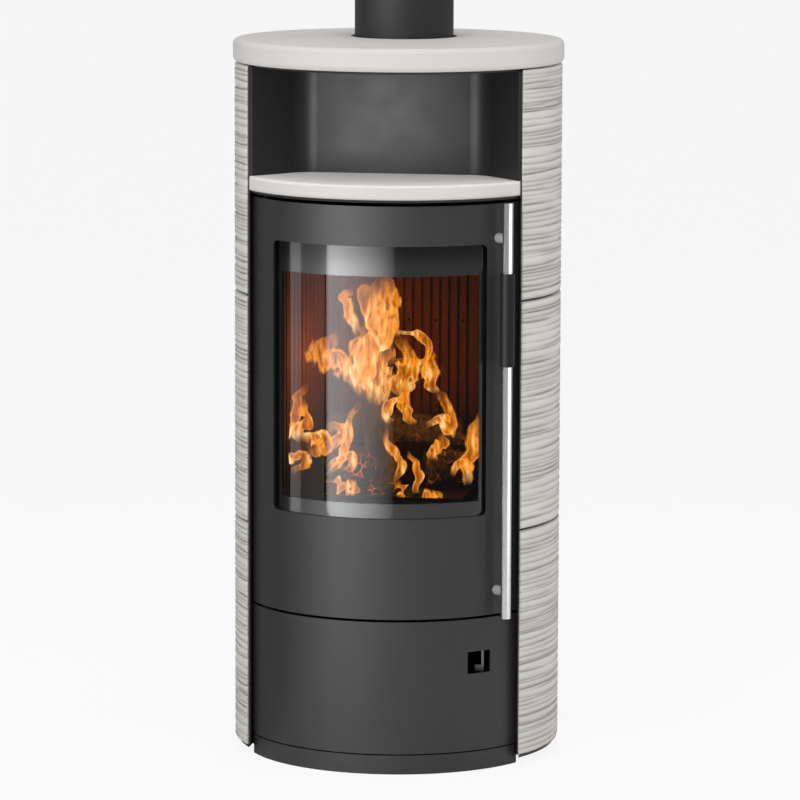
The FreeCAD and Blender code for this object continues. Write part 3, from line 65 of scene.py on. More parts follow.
Colour = tuple[float, float, float]
Pair = tuple[float, float]
Socket = bpy.types.NodeSocket
Nodes = dict[str, bpy.types.Object]


class Side(Enum):
    """The two flanks of the stove, with the sign of their X."""

    LEFT = -1
    RIGHT = 1


class Tier(Enum):
    """The rows of tiles, from the floor up."""

    LOWER = 0
    MIDDLE = 1
    UPPER = 2


class LampUse(Enum):
    """What a lamp is hung for: to light the surfaces, or to be mirrored in them."""

    SOFT = "soft"
    SHINE = "shine"


class Graph:
    """Adds and wires the nodes of one shader tree."""

    def __init__(self, tree: bpy.types.NodeTree) -> None:
        """Keep the tree that the nodes go into."""
        self.tree = tree

    def add(self, kind: str, settings: dict | None = None, **inputs: object) -> bpy.types.Node:
        """Add a node.

        Args:
            kind: Blender's name of the node type.
            settings: Plain properties of the node.
            inputs: Values or sockets by input name, with _ for a space.

        Returns:
            The new node.
        """
        node = self.tree.nodes.new(kind)
        for key, value in (settings or {}).items():
            setattr(node, key, value)
        self.put(node, **inputs)
        return node

    def put(self, node: bpy.types.Node, **inputs: object) -> None:
        """Give a node's inputs values or sockets by name, with _ for a space."""
        for key, value in inputs.items():
            self.feed(node.inputs[key.replace("_", " ")], value)

    def feed(self, socket: Socket, value: object) -> None:
        """Link a socket to an input, or set its value.

        Args:
            socket: The input.
            value: Another node's output, or a plain value.
        """
        if isinstance(value, Socket):
            self.tree.links.new(value, socket)
        else:
            socket.default_value = value

    def math(self, operation: str, first: object, second: object = 0.0) -> Socket:
        """Add a Math node.

        Args:
            operation: Blender's name of the operation.
            first: The first value or socket.
            second: The second one, where the operation has it.

        Returns:
            The result.
        """
        node = self.add("ShaderNodeMath", {"operation": operation})
        self.feed(node.inputs[0], first)
        self.feed(node.inputs[1], second)
        return node.outputs[0]

    def times(self, first: object, second: object) -> Socket:
        """Multiply two values and return the result."""
        return self.math("MULTIPLY", first, second)

    def spread(self, value: object, low: float, high: float, to_low: float, to_high: float) -> Socket:
        """Map a value from one range to another in a smooth step.

        Args:
            value: The value or socket.
            low: Start of the first range.
            high: End of the first range.
            to_low: What the start becomes.
            to_high: What the end becomes.

        Returns:
            The result.
        """
        node = self.add("ShaderNodeMapRange", {"interpolation_type": "SMOOTHSTEP"}, Value=value, From_Min=low,
                        From_Max=high, To_Min=to_low, To_Max=to_high)
        return node.outputs["Result"]

    def blend(self, factor: object, first: object, second: object) -> Socket:
        """Mix two colours.

        Args:
            factor: Share of the second colour.
            first: The first colour or socket.
            second: The second colour or socket.

        Returns:
            The mixed colour.
        """
        node = self.add("ShaderNodeMix", {"data_type": "RGBA"})
        self.feed(node.inputs[0], factor)
        self.feed(node.inputs[6], first)
        self.feed(node.inputs[7], second)
        return node.outputs[2]

    def overlay(self, factor: object, first: Socket, second: Socket) -> Socket:
        """Mix two shaders.

        Args:
            factor: Share of the second shader.
            first: The first shader.
            second: The second shader.

        Returns:
            The mixed shader.
        """
        node = self.add("ShaderNodeMixShader", Fac=factor)
        self.feed(node.inputs[1], first)
        self.feed(node.inputs[2], second)
        return node.outputs[0]

    def place(self) -> Socket:
        """Return the Object coordinates, in metres in the frame of the part."""
        return self.add("ShaderNodeTexCoord").outputs["Object"]

    def group(self, tree: bpy.types.NodeTree, **inputs: object) -> bpy.types.Node:
        """Place a shared node group with its own values."""
        return self.add("ShaderNodeGroup", {"node_tree": tree}, **inputs)

    def grain(self, **inputs: object) -> Socket:
        """Place the shared noise with its own values and return its result."""
        return self.group(SharedEffects.grain(), **inputs).outputs["Value"]


class SharedEffects:
    """Shader node groups that several finishes use."""

    NOISE_LOW, NOISE_HIGH = 0.28, 0.72

    @staticmethod
    def start(name: str, inputs: dict[str, tuple[str, object]], outputs: dict[str, str]) -> bpy.types.NodeTree:
        """Make an empty group with its sockets.

        Args:
            name: The group's name.
            inputs: Socket type and first value by name.
            outputs: Socket type by name.

        Returns:
            The new node tree.
        """
        tree = bpy.data.node_groups.new(name, "ShaderNodeTree")
        for label, (kind, value) in inputs.items():
            socket = tree.interface.new_socket(label, in_out="INPUT", socket_type=kind)
            socket.default_value = value
        for label, kind in outputs.items():
            tree.interface.new_socket(label, in_out="OUTPUT", socket_type=kind)
        return tree

    @staticmethod
    @cache
    def grain() -> bpy.types.NodeTree:
        """Make noise on the part's own coordinates, stretched along its axes, between two levels.

        Returns:
            The shared group.
        """
        tree = SharedEffects.start("grain", {
            "Stretch": ("NodeSocketVector", (1.0, 1.0, 1.0)),
            "Scale": ("NodeSocketFloat", 100.0),
            "Detail": ("NodeSocketFloat", 2.0),
            "Low": ("NodeSocketFloat", 0.0),
            "High": ("NodeSocketFloat", 1.0),
        }, {"Value": "NodeSocketFloat"})
        graph = Graph(tree)
        given = graph.add("NodeGroupInput")
        stretched = graph.add("ShaderNodeVectorMath", {"operation": "MULTIPLY"})
        graph.feed(stretched.inputs[0], graph.place())
        graph.feed(stretched.inputs[1], given.outputs["Stretch"])
        field = graph.add("ShaderNodeTexNoise", Vector=stretched.outputs[0], Scale=given.outputs["Scale"],
                          Detail=given.outputs["Detail"])
        levels = graph.add("ShaderNodeMapRange", Value=field.outputs["Fac"], From_Min=SharedEffects.NOISE_LOW,
                           From_Max=SharedEffects.NOISE_HIGH, To_Min=given.outputs["Low"],
                           To_Max=given.outputs["High"])
        result = graph.add("NodeGroupOutput")
        graph.feed(result.inputs["Value"], levels.outputs["Result"])
        return tree

    @staticmethod
    @cache
    def specks() -> bpy.types.NodeTree:
        """Make a mask of small scattered spots.

        Returns:
            The shared group.
        """
        tree = SharedEffects.start("specks", {
            "Scale": ("NodeSocketFloat", 300.0),
            "Size": ("NodeSocketFloat", 0.2),
        }, {"Mask": "NodeSocketFloat"})
        graph = Graph(tree)
        given = graph.add("NodeGroupInput")
        cells = graph.add("ShaderNodeTexVoronoi", Vector=graph.place(), Scale=given.outputs["Scale"])
        mask = graph.math("LESS_THAN", cells.outputs["Distance"], given.outputs["Size"])
        result = graph.add("NodeGroupOutput")
        graph.feed(result.inputs["Mask"], mask)
        return tree


@dataclass(frozen=True)
class Finish:
    """What every finish has: a name, a colour and a roughness."""

    name: str
    colour: Colour
    roughness: float

    def begin(self) -> tuple[Graph, bpy.types.Node]:
        """Make the material with its main shader.

        Returns:
            The graph of the new material and its Principled BSDF.
        """
        material = bpy.data.materials.new(self.name)
        material.use_nodes = True
        graph = Graph(material.node_tree)
        return graph, material.node_tree.nodes["Principled BSDF"]

    def shades(self, spread: float) -> tuple[tuple, tuple]:
        """Mix two shades of the colour.

        Args:
            spread: How far they lie from the colour, as a share of it.

        Returns:
            The darker and the lighter shade.
        """
        dark = tuple(part * (1.0 - spread) for part in self.colour)
        light = tuple(min(part * (1.0 + spread), 1.0) for part in self.colour)
        return (*dark, 1.0), (*light, 1.0)

    @cache
    def material(self) -> bpy.types.Material:
        """Return the finish as a material, built once."""
        self.build()
        return bpy.data.materials[self.name]

    def build(self) -> None:
        """Make the nodes of the material."""
        raise NotImplementedError

    def bump(self, graph: Graph, shader: bpy.types.Node, height: Socket, strength: float,
             distance: float) -> None:
        """Put a height on the shader's normal."""
        node = graph.add("ShaderNodeBump", Strength=strength, Distance=distance, Height=height)
        graph.put(shader, Normal=node.outputs["Normal"])


@dataclass(frozen=True)
class Paint(Finish):
    """Sprayed heat-proof paint on sheet steel: fine texture, faint clouds and a soft sheen."""

    CLOUD_SCALE, CLOUD_SPREAD = 7.0, 0.08
    FLECK_SHARE, FLECK_SPREAD = 0.22, 0.9
    PATCH_SCALE, PATCH_SPREAD = 24.0, 0.04
    RELIEF_DEPTH = 0.0003

    metallic: float = 0.0
    specular: float = 0.4
    texture: float = 900.0
    relief: float = 0.12

    def build(self) -> None:
        """Make the nodes of the material."""
        graph, shader = self.begin()
        tone = graph.blend(graph.grain(Scale=self.CLOUD_SCALE, Detail=3.0), *self.shades(self.CLOUD_SPREAD))
        fine = graph.grain(Scale=self.texture, Detail=1.5)
        flecks = graph.times(fine, self.FLECK_SHARE)
        grey = graph.blend(flecks, tone, self.shades(self.FLECK_SPREAD)[1])
        rough = graph.grain(Scale=self.PATCH_SCALE, Detail=4.0, Low=self.roughness - self.PATCH_SPREAD,
                            High=self.roughness + self.PATCH_SPREAD)
        graph.put(shader, Base_Color=grey, Roughness=rough, Metallic=self.metallic, Specular_IOR_Level=self.specular)
        self.bump(graph, shader, fine, self.relief, self.RELIEF_DEPTH)


@dataclass(frozen=True)
class Ceramic(Finish):
    """Fired off-white ceramic with faint clouds and fine specks."""

    CLOUD_SCALE, CLOUD_SPREAD = 9.0, 0.025
    SPECK_SCALE, SPECK_SIZE, SPECK_SHARE, SPECK_SPREAD = 420.0, 0.16, 0.10, 0.45
    PATCH_SCALE, PATCH_BELOW, PATCH_ABOVE = 30.0, 0.05, 0.06
    SPECULAR = 0.2
    RELIEF_SCALE, RELIEF_DEPTH = 260.0, 0.0003

    relief: float = 0.25

    def build(self) -> None:
        """Make the nodes of the material."""
        graph, shader = self.begin()
        tone = graph.blend(graph.grain(Scale=self.CLOUD_SCALE, Detail=4.0), *self.shades(self.CLOUD_SPREAD))
        spots = graph.group(SharedEffects.specks(), Scale=self.SPECK_SCALE, Size=self.SPECK_SIZE)
        speck = graph.times(spots.outputs["Mask"], self.SPECK_SHARE)
        base = graph.blend(speck, tone, self.shades(self.SPECK_SPREAD)[0])
        rough = graph.grain(Scale=self.PATCH_SCALE, Detail=3.0, Low=self.roughness - self.PATCH_BELOW,
                            High=self.roughness + self.PATCH_ABOVE)
        graph.put(shader, Base_Color=base, Roughness=rough, Specular_IOR_Level=self.SPECULAR)
        self.bump(graph, shader, graph.grain(Scale=self.RELIEF_SCALE, Detail=4.0), self.relief, self.RELIEF_DEPTH)


@dataclass(frozen=True)
class RakedCeramic(Finish):
    """Raked tile: painted shade darkens the furrows, with fine drag lines along them."""

    CLOUD_SCALE, CLOUD_SPREAD, CLOUD_STRETCH = 11.0, 0.05, (1.0, 1.0, 3.0)
    DRAG_SCALE, DRAG_STRETCH, DRAG_RELIEF, DRAG_DEPTH = 700.0, (0.12, 0.12, 1.0), 0.5, 0.0006
    SPECULAR = 0.2

    # furrow is the colour of the painted shade in the creases, and depth is its strength
    furrow: Colour = (0.20, 0.172, 0.145)
    depth: float = 0.95

    def build(self) -> None:
        """Make the nodes of the material."""
        graph, shader = self.begin()
        clouds = graph.grain(Stretch=self.CLOUD_STRETCH, Scale=self.CLOUD_SCALE, Detail=4.0)
        # painted shade: the crease attribute darkens the colour towards the furrow colour
        crease = graph.add("ShaderNodeAttribute", {"attribute_name": RakedTile.SHADE})
        shade = graph.times(crease.outputs["Fac"], self.depth)
        base = graph.blend(shade, graph.blend(clouds, *self.shades(self.CLOUD_SPREAD)), (*self.furrow, 1.0))
        graph.put(shader, Base_Color=base, Roughness=self.roughness, Specular_IOR_Level=self.SPECULAR)
        drag = graph.grain(Stretch=self.DRAG_STRETCH, Scale=self.DRAG_SCALE, Detail=3.0)
        self.bump(graph, shader, drag, self.DRAG_RELIEF, self.DRAG_DEPTH)


@dataclass(frozen=True)
class Metal(Finish):
    """Bare or plated steel with grinding marks."""

    SPREAD = 0.1
    PATCH_BELOW, PATCH_ABOVE, PATCH_SHARE = 0.05, 0.07, 3.0
    MARK_DEPTH = 0.0001

    stretch: Colour = (1.0, 1.0, 1.0)
    marks: float = 900.0
    relief: float = 0.06

    def build(self) -> None:
        """Make the nodes of the material."""
        graph, shader = self.begin()
        lines = graph.grain(Stretch=self.stretch, Scale=self.marks, Detail=3.0)
        rough = graph.grain(Stretch=self.stretch, Scale=self.marks / self.PATCH_SHARE, Detail=2.0,
                            Low=self.roughness - self.PATCH_BELOW, High=self.roughness + self.PATCH_ABOVE)
        graph.put(shader, Base_Color=graph.blend(lines, *self.shades(self.SPREAD)), Roughness=rough, Metallic=1.0)
        self.bump(graph, shader, lines, self.relief, self.MARK_DEPTH)


@dataclass(frozen=True)
class PrintedGlass(Finish):
    """Clear glass ceramic with a black printed border round a clear field."""

    GLASS_IOR = 1.53
    PRINT, PRINT_IOR, PRINT_ROUGHNESS, PRINT_FADE = (0.002, 0.002, 0.002, 1.0), 1.82, 0.17, 0.35

    half_width: float = 0.1515
    centre: float = 0.0015
    low: float = 0.416
    high: float = 0.762
    top: float = 0.810
    soft: float = 0.0012

    def build(self) -> None:
        """Make the nodes of the material."""
        graph, shader = self.begin()
        split = graph.add("ShaderNodeSeparateXYZ", Vector=graph.place())
        rise = split.outputs["Z"]
        across = graph.math("ABSOLUTE", graph.math("SUBTRACT", split.outputs["X"], self.centre))
        inside = graph.spread(across, self.half_width - self.soft, self.half_width + self.soft, 1.0, 0.0)
        above = graph.spread(rise, self.low - self.soft, self.low + self.soft, 0.0, 1.0)
        below = graph.spread(rise, self.high - self.soft, self.high + self.soft, 1.0, 0.0)
        clear = graph.times(inside, graph.times(above, below))
        # the border's coat, and with it its reflection, weakens towards the top edge
        fade = graph.spread(rise, self.high, self.top, 1.0, self.PRINT_FADE)
        border = graph.times(graph.math("SUBTRACT", 1.0, clear), fade)
        graph.put(shader, Base_Color=graph.blend(clear, self.PRINT, (*self.colour, 1.0)), Roughness=self.roughness,
                  Transmission_Weight=1.0, IOR=self.GLASS_IOR, Coat_Weight=border, Coat_IOR=self.PRINT_IOR,
                  Coat_Roughness=self.PRINT_ROUGHNESS)


@dataclass(frozen=True)
class Lining(Finish):
    """Pressed vermiculite: coarse flakes, darkened by smoke in clouds, and darker towards the hearth."""

    FLAKE_SCALE, FLAKE_SPREAD, FLAKE_RELIEF, FLAKE_DEPTH = 330.0, 0.25, 0.6, 0.001
    SOOT_SCALE, SOOT_STRETCH, SOOT_LEAST, SOOT_MOST = 14.0, (1.0, 1.0, 0.35), 0.05, 0.55
    HEARTH_DARK = 0.95
    SPECULAR = 0.1

    smoke: Colour = (0.012, 0.006, 0.003)
    hearth_dark_low: float = 0.42
    hearth_dark_high: float = 0.60

    def build(self) -> None:
        """Make the nodes of the material."""
        graph, shader = self.begin()
        flakes = graph.grain(Scale=self.FLAKE_SCALE, Detail=4.0)
        soot = graph.grain(Stretch=self.SOOT_STRETCH, Scale=self.SOOT_SCALE, Detail=4.0, Low=self.SOOT_LEAST,
                           High=self.SOOT_MOST)
        level = graph.add("ShaderNodeSeparateXYZ", Vector=graph.place()).outputs["Z"]
        # darker towards the bottom: the colour goes towards the smoke colour low down and fades out above it
        low = graph.spread(level, self.hearth_dark_low, self.hearth_dark_high, self.HEARTH_DARK, 0.0)
        tone = graph.blend(flakes, *self.shades(self.FLAKE_SPREAD))
        base = graph.blend(graph.math("MAXIMUM", soot, low), tone, (*self.smoke, 1.0))
        graph.put(shader, Base_Color=base, Roughness=self.roughness, Specular_IOR_Level=self.SPECULAR)
        self.bump(graph, shader, flakes, self.FLAKE_RELIEF, self.FLAKE_DEPTH)


@dataclass(frozen=True)
class Rope(Finish):
    """Braided glass fibre: a fine diagonal weave."""

    SPREAD, TWIST, RELIEF, DEPTH = 0.3, 1.5, 0.6, 0.0008

    weave: float = 420.0

    def build(self) -> None:
        """Make the nodes of the material."""
        graph, shader = self.begin()
        wave = graph.add("ShaderNodeTexWave", {"wave_type": "BANDS", "bands_direction": "DIAGONAL"},
                         Vector=graph.place(), Scale=self.weave, Distortion=self.TWIST)
        strands = wave.outputs["Fac"]
        graph.put(shader, Base_Color=graph.blend(strands, *self.shades(self.SPREAD)), Roughness=self.roughness)
        self.bump(graph, shader, strands, self.RELIEF, self.DEPTH)


STOVE_PAINT = Paint("anthracite_paint", (0.0292, 0.0292, 0.0301), 0.42, specular=0.5)
NICHE_PAINT = Paint("niche_paint", (0.022, 0.022, 0.023), 0.40, specular=0.22)
PIPE_PAINT = Paint("flue_paint", (0.024, 0.024, 0.025), 0.5, specular=0.3, texture=700.0, relief=0.16)
DARK_STEEL = Paint("dark_steel", (0.020, 0.019, 0.019), 0.55, specular=0.5, texture=500.0, relief=0.2)
SOOTY_STEEL = Paint("sooty_steel", (0.008, 0.007, 0.006), 0.75, specular=0.1, texture=420.0, relief=0.3)
GRIP_BLACK = Paint("grip_black", (0.012, 0.012, 0.013), 0.42, specular=0.3, texture=1500.0, relief=0.1)
IRON = Paint("rough_iron", (0.02, 0.019, 0.018), 0.7, specular=0.5, texture=380.0, relief=0.5)
FERRITE = Paint("ferrite", (0.05, 0.05, 0.052), 0.6, specular=0.3, texture=600.0, relief=0.2)
PLATE_CERAMIC = Ceramic("smooth_ceramic", (0.72, 0.695, 0.675), 0.5)
TILE_CERAMIC = RakedCeramic("raked_ceramic", (0.79, 0.765, 0.73), 0.65)
STAINLESS = Metal("brushed_stainless", (0.72, 0.72, 0.73), 0.26, stretch=(1.0, 1.0, 0.04), marks=1500.0)
SATIN_PEG = Paint("satin_peg", (0.50, 0.50, 0.51), 0.4, metallic=0.2, specular=0.5, relief=0.03)
ZINC = Metal("zinc_plate", (0.40, 0.40, 0.41), 0.4)
LEVER_STEEL = Metal("lever_steel", (0.30, 0.30, 0.305), 0.45, stretch=(0.1, 1.0, 1.0))
DOOR_GLASS = PrintedGlass("door_glass", (0.97, 0.97, 0.97), 0.0)
VERMICULITE = Lining("pressed_vermiculite", (0.058, 0.018, 0.004), 0.9)
SEAL_ROPE = Rope("braided_rope", (0.22, 0.21, 0.20), 0.9)


def dress(nodes: Nodes, finish: Finish, names: tuple[str, ...]) -> None:
    """Give CAD nodes a finish.

    Args:
        nodes: The objects of the frame by node name.
        finish: The finish they get.
        names: The nodes to dress.
    """
    for name in names:
        nodes[name].data.materials.clear()
        nodes[name].data.materials.append(finish.material())
        LOG.info("dressed %s in %s", name, finish.name)


def put_in_scene(name: str, data: bpy.types.ID) -> bpy.types.Object:
    """Make an object and link it to the scene.

    Args:
        name: Name of the object.
        data: Its mesh, light or camera.

    Returns:
        The new object.
    """
    item = bpy.data.objects.new(name, data)
    bpy.context.scene.collection.objects.link(item)
    return item


def new_piece(name: str, mesh: bmesh.types.BMesh, finish: Finish) -> bpy.types.Object:
    """Turn a finished bmesh into an object at the origin.

    Args:
        name: Name of the piece.
        mesh: Its geometry, which is freed.
        finish: The finish it gets.

    Returns:
        The new object.
    """
    data = bpy.data.meshes.new(name)
    bmesh.ops.recalc_face_normals(mesh, faces=mesh.faces)
    for face in mesh.faces:
        face.smooth = True
    mesh.to_mesh(data)
    mesh.free()
    data.materials.append(finish.material())
    LOG.info("built %s", name)
    return put_in_scene(name, data)


@dataclass
class RakedTile:
    """One raked tile of the sides, in the place of its plain solid."""

    SHADE = "crease_shade"
    SEED, TIER_STEP, SIDE_STEP = 7, 10, 31
    FAINTEST, OFFSET_MOST = 0.5, 500.0
    STEP_LEAST, STEP_MOST, STEP_USUAL = 0.35, 2.1, 0.75
    SWAY_RATE, RIPPLE_RATE, RIPPLE_SHARE = 6.0, 30.0, 0.14
    FADE_RATE, FADE_MIDDLE, FADE_SPREAD = 12.0, 0.9, 0.8
    SLOPE_REACH, SLOPE_CURVE, SHALLOWEST = 0.85, 1.4, 0.3
    NOSE_LEAST = 0.3

    side: Side
    tier: Tier
    body: str
    radius: float = 253.0 * MM
    thickness: float = 28.0 * MM
    front_x: float = 211.0 * MM
    back_y: float = 140.0 * MM
    edge: float = 4.0 * MM
    nose: float = 2.5 * MM
    pitch: float = 7.4 * MM
    furrow: float = 2.8 * MM
    wander: float = 3.2 * MM
    lip: float = 0.9 * MM
    painted_shade_reach: float = 2.5 * MM
    nose_columns: int = 8
    columns: int = 80
    rows: int = 420

    @property
    def node(self) -> str:
        """Name of the CAD node that the tile stands for."""
        return f"tile_{self.side.name.lower()}_{self.tier.name.lower()}"

    def creases(self, height: float) -> list[tuple[float, float, float]]:
        """Draw the creases that the rake left.

        Args:
            height: Height of the tile.

        Returns:
            Level, strength and noise offset of each crease, from the foot up.
        """
        draw = random.Random(self.SEED + self.TIER_STEP * self.tier.value + self.SIDE_STEP * self.side.value)
        found = []
        level = -2.0 * self.pitch
        while level < height + 2.0 * self.pitch:
            found.append((level, draw.uniform(self.FAINTEST, 1.0), draw.uniform(0.0, self.OFFSET_MOST)))
            level += self.pitch * draw.triangular(self.STEP_LEAST, self.STEP_MOST, self.STEP_USUAL)
        return found

    def column(self, creases: list[tuple[float, float, float]], along: float) -> list[Pair]:
        """Follow the creases to one place on the arc.

        Args:
            creases: The creases of the tile.
            along: Length along the arc from the tile's front edge.

        Returns:
            Level and strength of each crease there, from the foot up.
        """
        here = []
        for level, strength, shift in creases:
            sway = noise.noise(Vector((along * self.SWAY_RATE, shift, 0.0)))
            sway += self.RIPPLE_SHARE * noise.noise(Vector((along * self.RIPPLE_RATE, shift, 5.0)))
            fade = self.FADE_MIDDLE + self.FADE_SPREAD * noise.noise(Vector((along * self.FADE_RATE, shift, 9.0)))
            here.append((level + self.wander * sway, strength * min(max(fade, 0.0), 1.0)))
        return sorted(here)

    def relief(self, column: list[Pair], level: float) -> Pair:
        """Find how the raked face lies at one level: each layer laps over the one above it.

        Args:
            column: The creases at this place on the arc.
            level: Height above the tile's foot.

        Returns:
            Depth below the outer radius as a share of the deepest furrow, and the strength of the painted shade at the
            crease.
        """
        spot = bisect.bisect(column, (level, 0.0))
        low, low_strength = column[spot - 1]
        high, high_strength = column[spot]
        gap = max(high - low, self.lip)
        slope = low_strength * max(1.0 - (level - low) / (self.SLOPE_REACH * gap), 0.0) ** self.SLOPE_CURVE
        lip = high_strength * math.exp((level - high) / self.lip)
        depth = max(slope, lip) * (self.SHALLOWEST + (1.0 - self.SHALLOWEST) * min(gap / self.pitch, 1.0))
        # painted shade: the colour darkens along each crease and in a band that fades upwards above it
        shade = max(low_strength * math.exp((low - level) / self.painted_shade_reach), lip)
        return min(depth, 1.0), min(shade, 1.0)

    def rounding(self, distance: float) -> float:
        """Find how far the rounded edge falls back.

        Args:
            distance: Distance from the tile's border.

        Returns:
            Depth below the outer radius.
        """
        if distance >= self.edge:
            return 0.0
        rest = self.edge - distance
        return self.edge - math.sqrt(max(self.edge ** 2 - rest ** 2, 0.0))

    def ends(self, out: float) -> Pair:
        """Find where an arc about the stove's axis meets the planes of the front and the back edge.

        Args:
            out: Radius of the arc.

        Returns:
            Bearing of its front and of its back end.
        """
        return math.asin(self.front_x / out), math.pi - math.acos(self.back_y / out)

    def inside(self, turn: int) -> Pair:
        """Find a place on the inner face in plan.

        Args:
            turn: Column of the grid, counted from the front edge.

        Returns:
            The place across the stove and along its depth.
        """
        out = self.radius - self.thickness
        first, last = self.ends(out)
        angle = first + (last - first) * turn / self.columns
        return out * math.sin(angle), -out * math.cos(angle)

    def outside(self, turn: int, sunk: float) -> Pair:
        """Find a place on the outer face in plan: round the acute front edge, then along the arc.

        Args:
            turn: Column of the grid, counted from the front edge.
            sunk: How far the place lies below the outer face.

        Returns:
            The place across the stove and along its depth.
        """
        across = self.front_x + self.nose
        back = -math.sqrt((self.radius - self.nose) ** 2 - across ** 2)
        first = math.atan2(across, -back)
        share = turn / self.nose_columns
        if share < 1.0:
            bearing = first * share - math.pi / 2 * (1.0 - share)
            reach = max(self.nose - sunk * share, self.NOSE_LEAST * self.nose)
            return across + reach * math.sin(bearing), back - reach * math.cos(bearing)
        out = self.radius - sunk
        if turn == self.columns:
            return math.sqrt(out ** 2 - self.back_y ** 2), self.back_y
        last = self.ends(self.radius)[1]
        angle = first + (last - first) * (turn - self.nose_columns) / (self.columns - self.nose_columns)
        return out * math.sin(angle), -out * math.cos(angle)

    def build(self) -> bpy.types.Object:
        """Make the tile from a grid that is bent, raked and thickened.

        Returns:
            The new piece.
        """
        low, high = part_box(self.node)
        height = high.z - low.z
        first, last = self.ends(self.radius)
        step = (last - first) * self.radius / self.columns
        creases = self.creases(height)
        columns = [self.column(creases, step * turn) for turn in range(self.columns + 1)]
        mesh = bmesh.new()
        # this layer holds the painted shade of the creases for the material
        shade_layer = mesh.verts.layers.float.new(self.SHADE)
        bmesh.ops.create_grid(mesh, x_segments=self.columns, y_segments=self.rows, size=0.5)
        border = [edge for edge in mesh.edges if edge.is_boundary]
        walls = bmesh.ops.extrude_edge_only(mesh, edges=border)["geom"]
        inner = {item for item in walls if isinstance(item, bmesh.types.BMVert)}
        for vert in mesh.verts:
            turn = round((vert.co.x + 0.5) * self.columns)
            level = (vert.co.y + 0.5) * height
            if vert in inner:
                across, back = self.inside(turn)
            else:
                depth, vert[shade_layer] = self.relief(columns[turn], level)
                nearest = min(step * (self.columns - turn), level, height - level)
                across, back = self.outside(turn, max(depth * self.furrow, self.rounding(nearest)))
            vert.co = (self.side.value * across, back, low.z + level)
        rim = [edge for edge in mesh.edges if edge.is_boundary]
        bmesh.ops.holes_fill(mesh, edges=rim, sides=0)
        piece = new_piece("raked_" + self.node, mesh, TILE_CERAMIC)
        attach(piece, self.body)
        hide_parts(self.node)
        return piece


@dataclass
class Assembly:
    """A part of the stove whose CAD nodes keep their shape and get finishes."""

    FINISHES = ()

    nodes: Nodes

    def build(self) -> None:
        """Dress the nodes."""
        for finish, names in self.FINISHES:
            dress(self.nodes, finish, names)


@dataclass
class Sides(Assembly):
    """The tiers of raked tiles with what carries them."""

    FINISHES = (
        (STOVE_PAINT, ("tile_ledges",)),
        (DARK_STEEL, ("tile_spacers",)),
    )

    body: str = "stove_body"

    def build(self) -> None:
        """Make the six tiles and dress their steel."""
        super().build()
        for side in Side:
            for tier in Tier:
                tile = RakedTile(side, tier, self.body)
                dress(self.nodes, TILE_CERAMIC, (tile.node,))
                tile.build()


@dataclass
class Carcass(Assembly):
    """Plates, shell, niche, flue and rear side of the stove."""

    FINISHES = (
        (PLATE_CERAMIC, ("top_plate", "shelf_plate")),
        (NICHE_PAINT, ("niche_wall",)),
        (STOVE_PAINT, ("plinth_front", "carcass_sides", "carcass_top", "firebox_top", "rear_cover", "base_plate",
                       "air_spigot")),
        (PIPE_PAINT, ("flue_pipe", "flue_spigot")),
        (DARK_STEEL, ("rear_rails", "divider_plate", "wood_back", "air_valve_box", "air_duct", "hinge_block",
                      "latch_keeper")),
        (ZINC, ("levelling_feet", "cover_screws")),
        (FERRITE, ("door_magnet",)),
        (LEVER_STEEL, ("air_slider",)),
    )


@dataclass
class Doors(Assembly):
    """The fire door with its handle, and the lower door."""

    FINISHES = (
        (STOVE_PAINT, ("door_panel", "wood_door_panel")),
        (DARK_STEEL, ("door_frame", "glass_clips", "latch_tongue", "wood_door_stiffener", "door_striker",
                      "fire_door_pins", "wood_door_pins")),
        (DOOR_GLASS, ("door_glass",)),
        (SEAL_ROPE, ("glass_gasket", "door_seal")),
        (STAINLESS, ("handle_bar",)),
        (SATIN_PEG, ("handle_pegs",)),
        (GRIP_BLACK, ("handle_grip",)),
        (ZINC, ("clip_screws",)),
    )


@dataclass
class Firebox(Assembly):
    """The lined fire chamber and the ash pan under it."""

    FINISHES = (
        (VERMICULITE, ("lining_back", "lining_left", "lining_right", "hearth_stones", "baffle")),
        (IRON, ("grate",)),
        (DARK_STEEL, ("firebox_wall", "firebox_front", "hearth_plate", "ash_pan")),
        (SOOTY_STEEL, ("smoke_deflector", "hearth_lip")),
    )


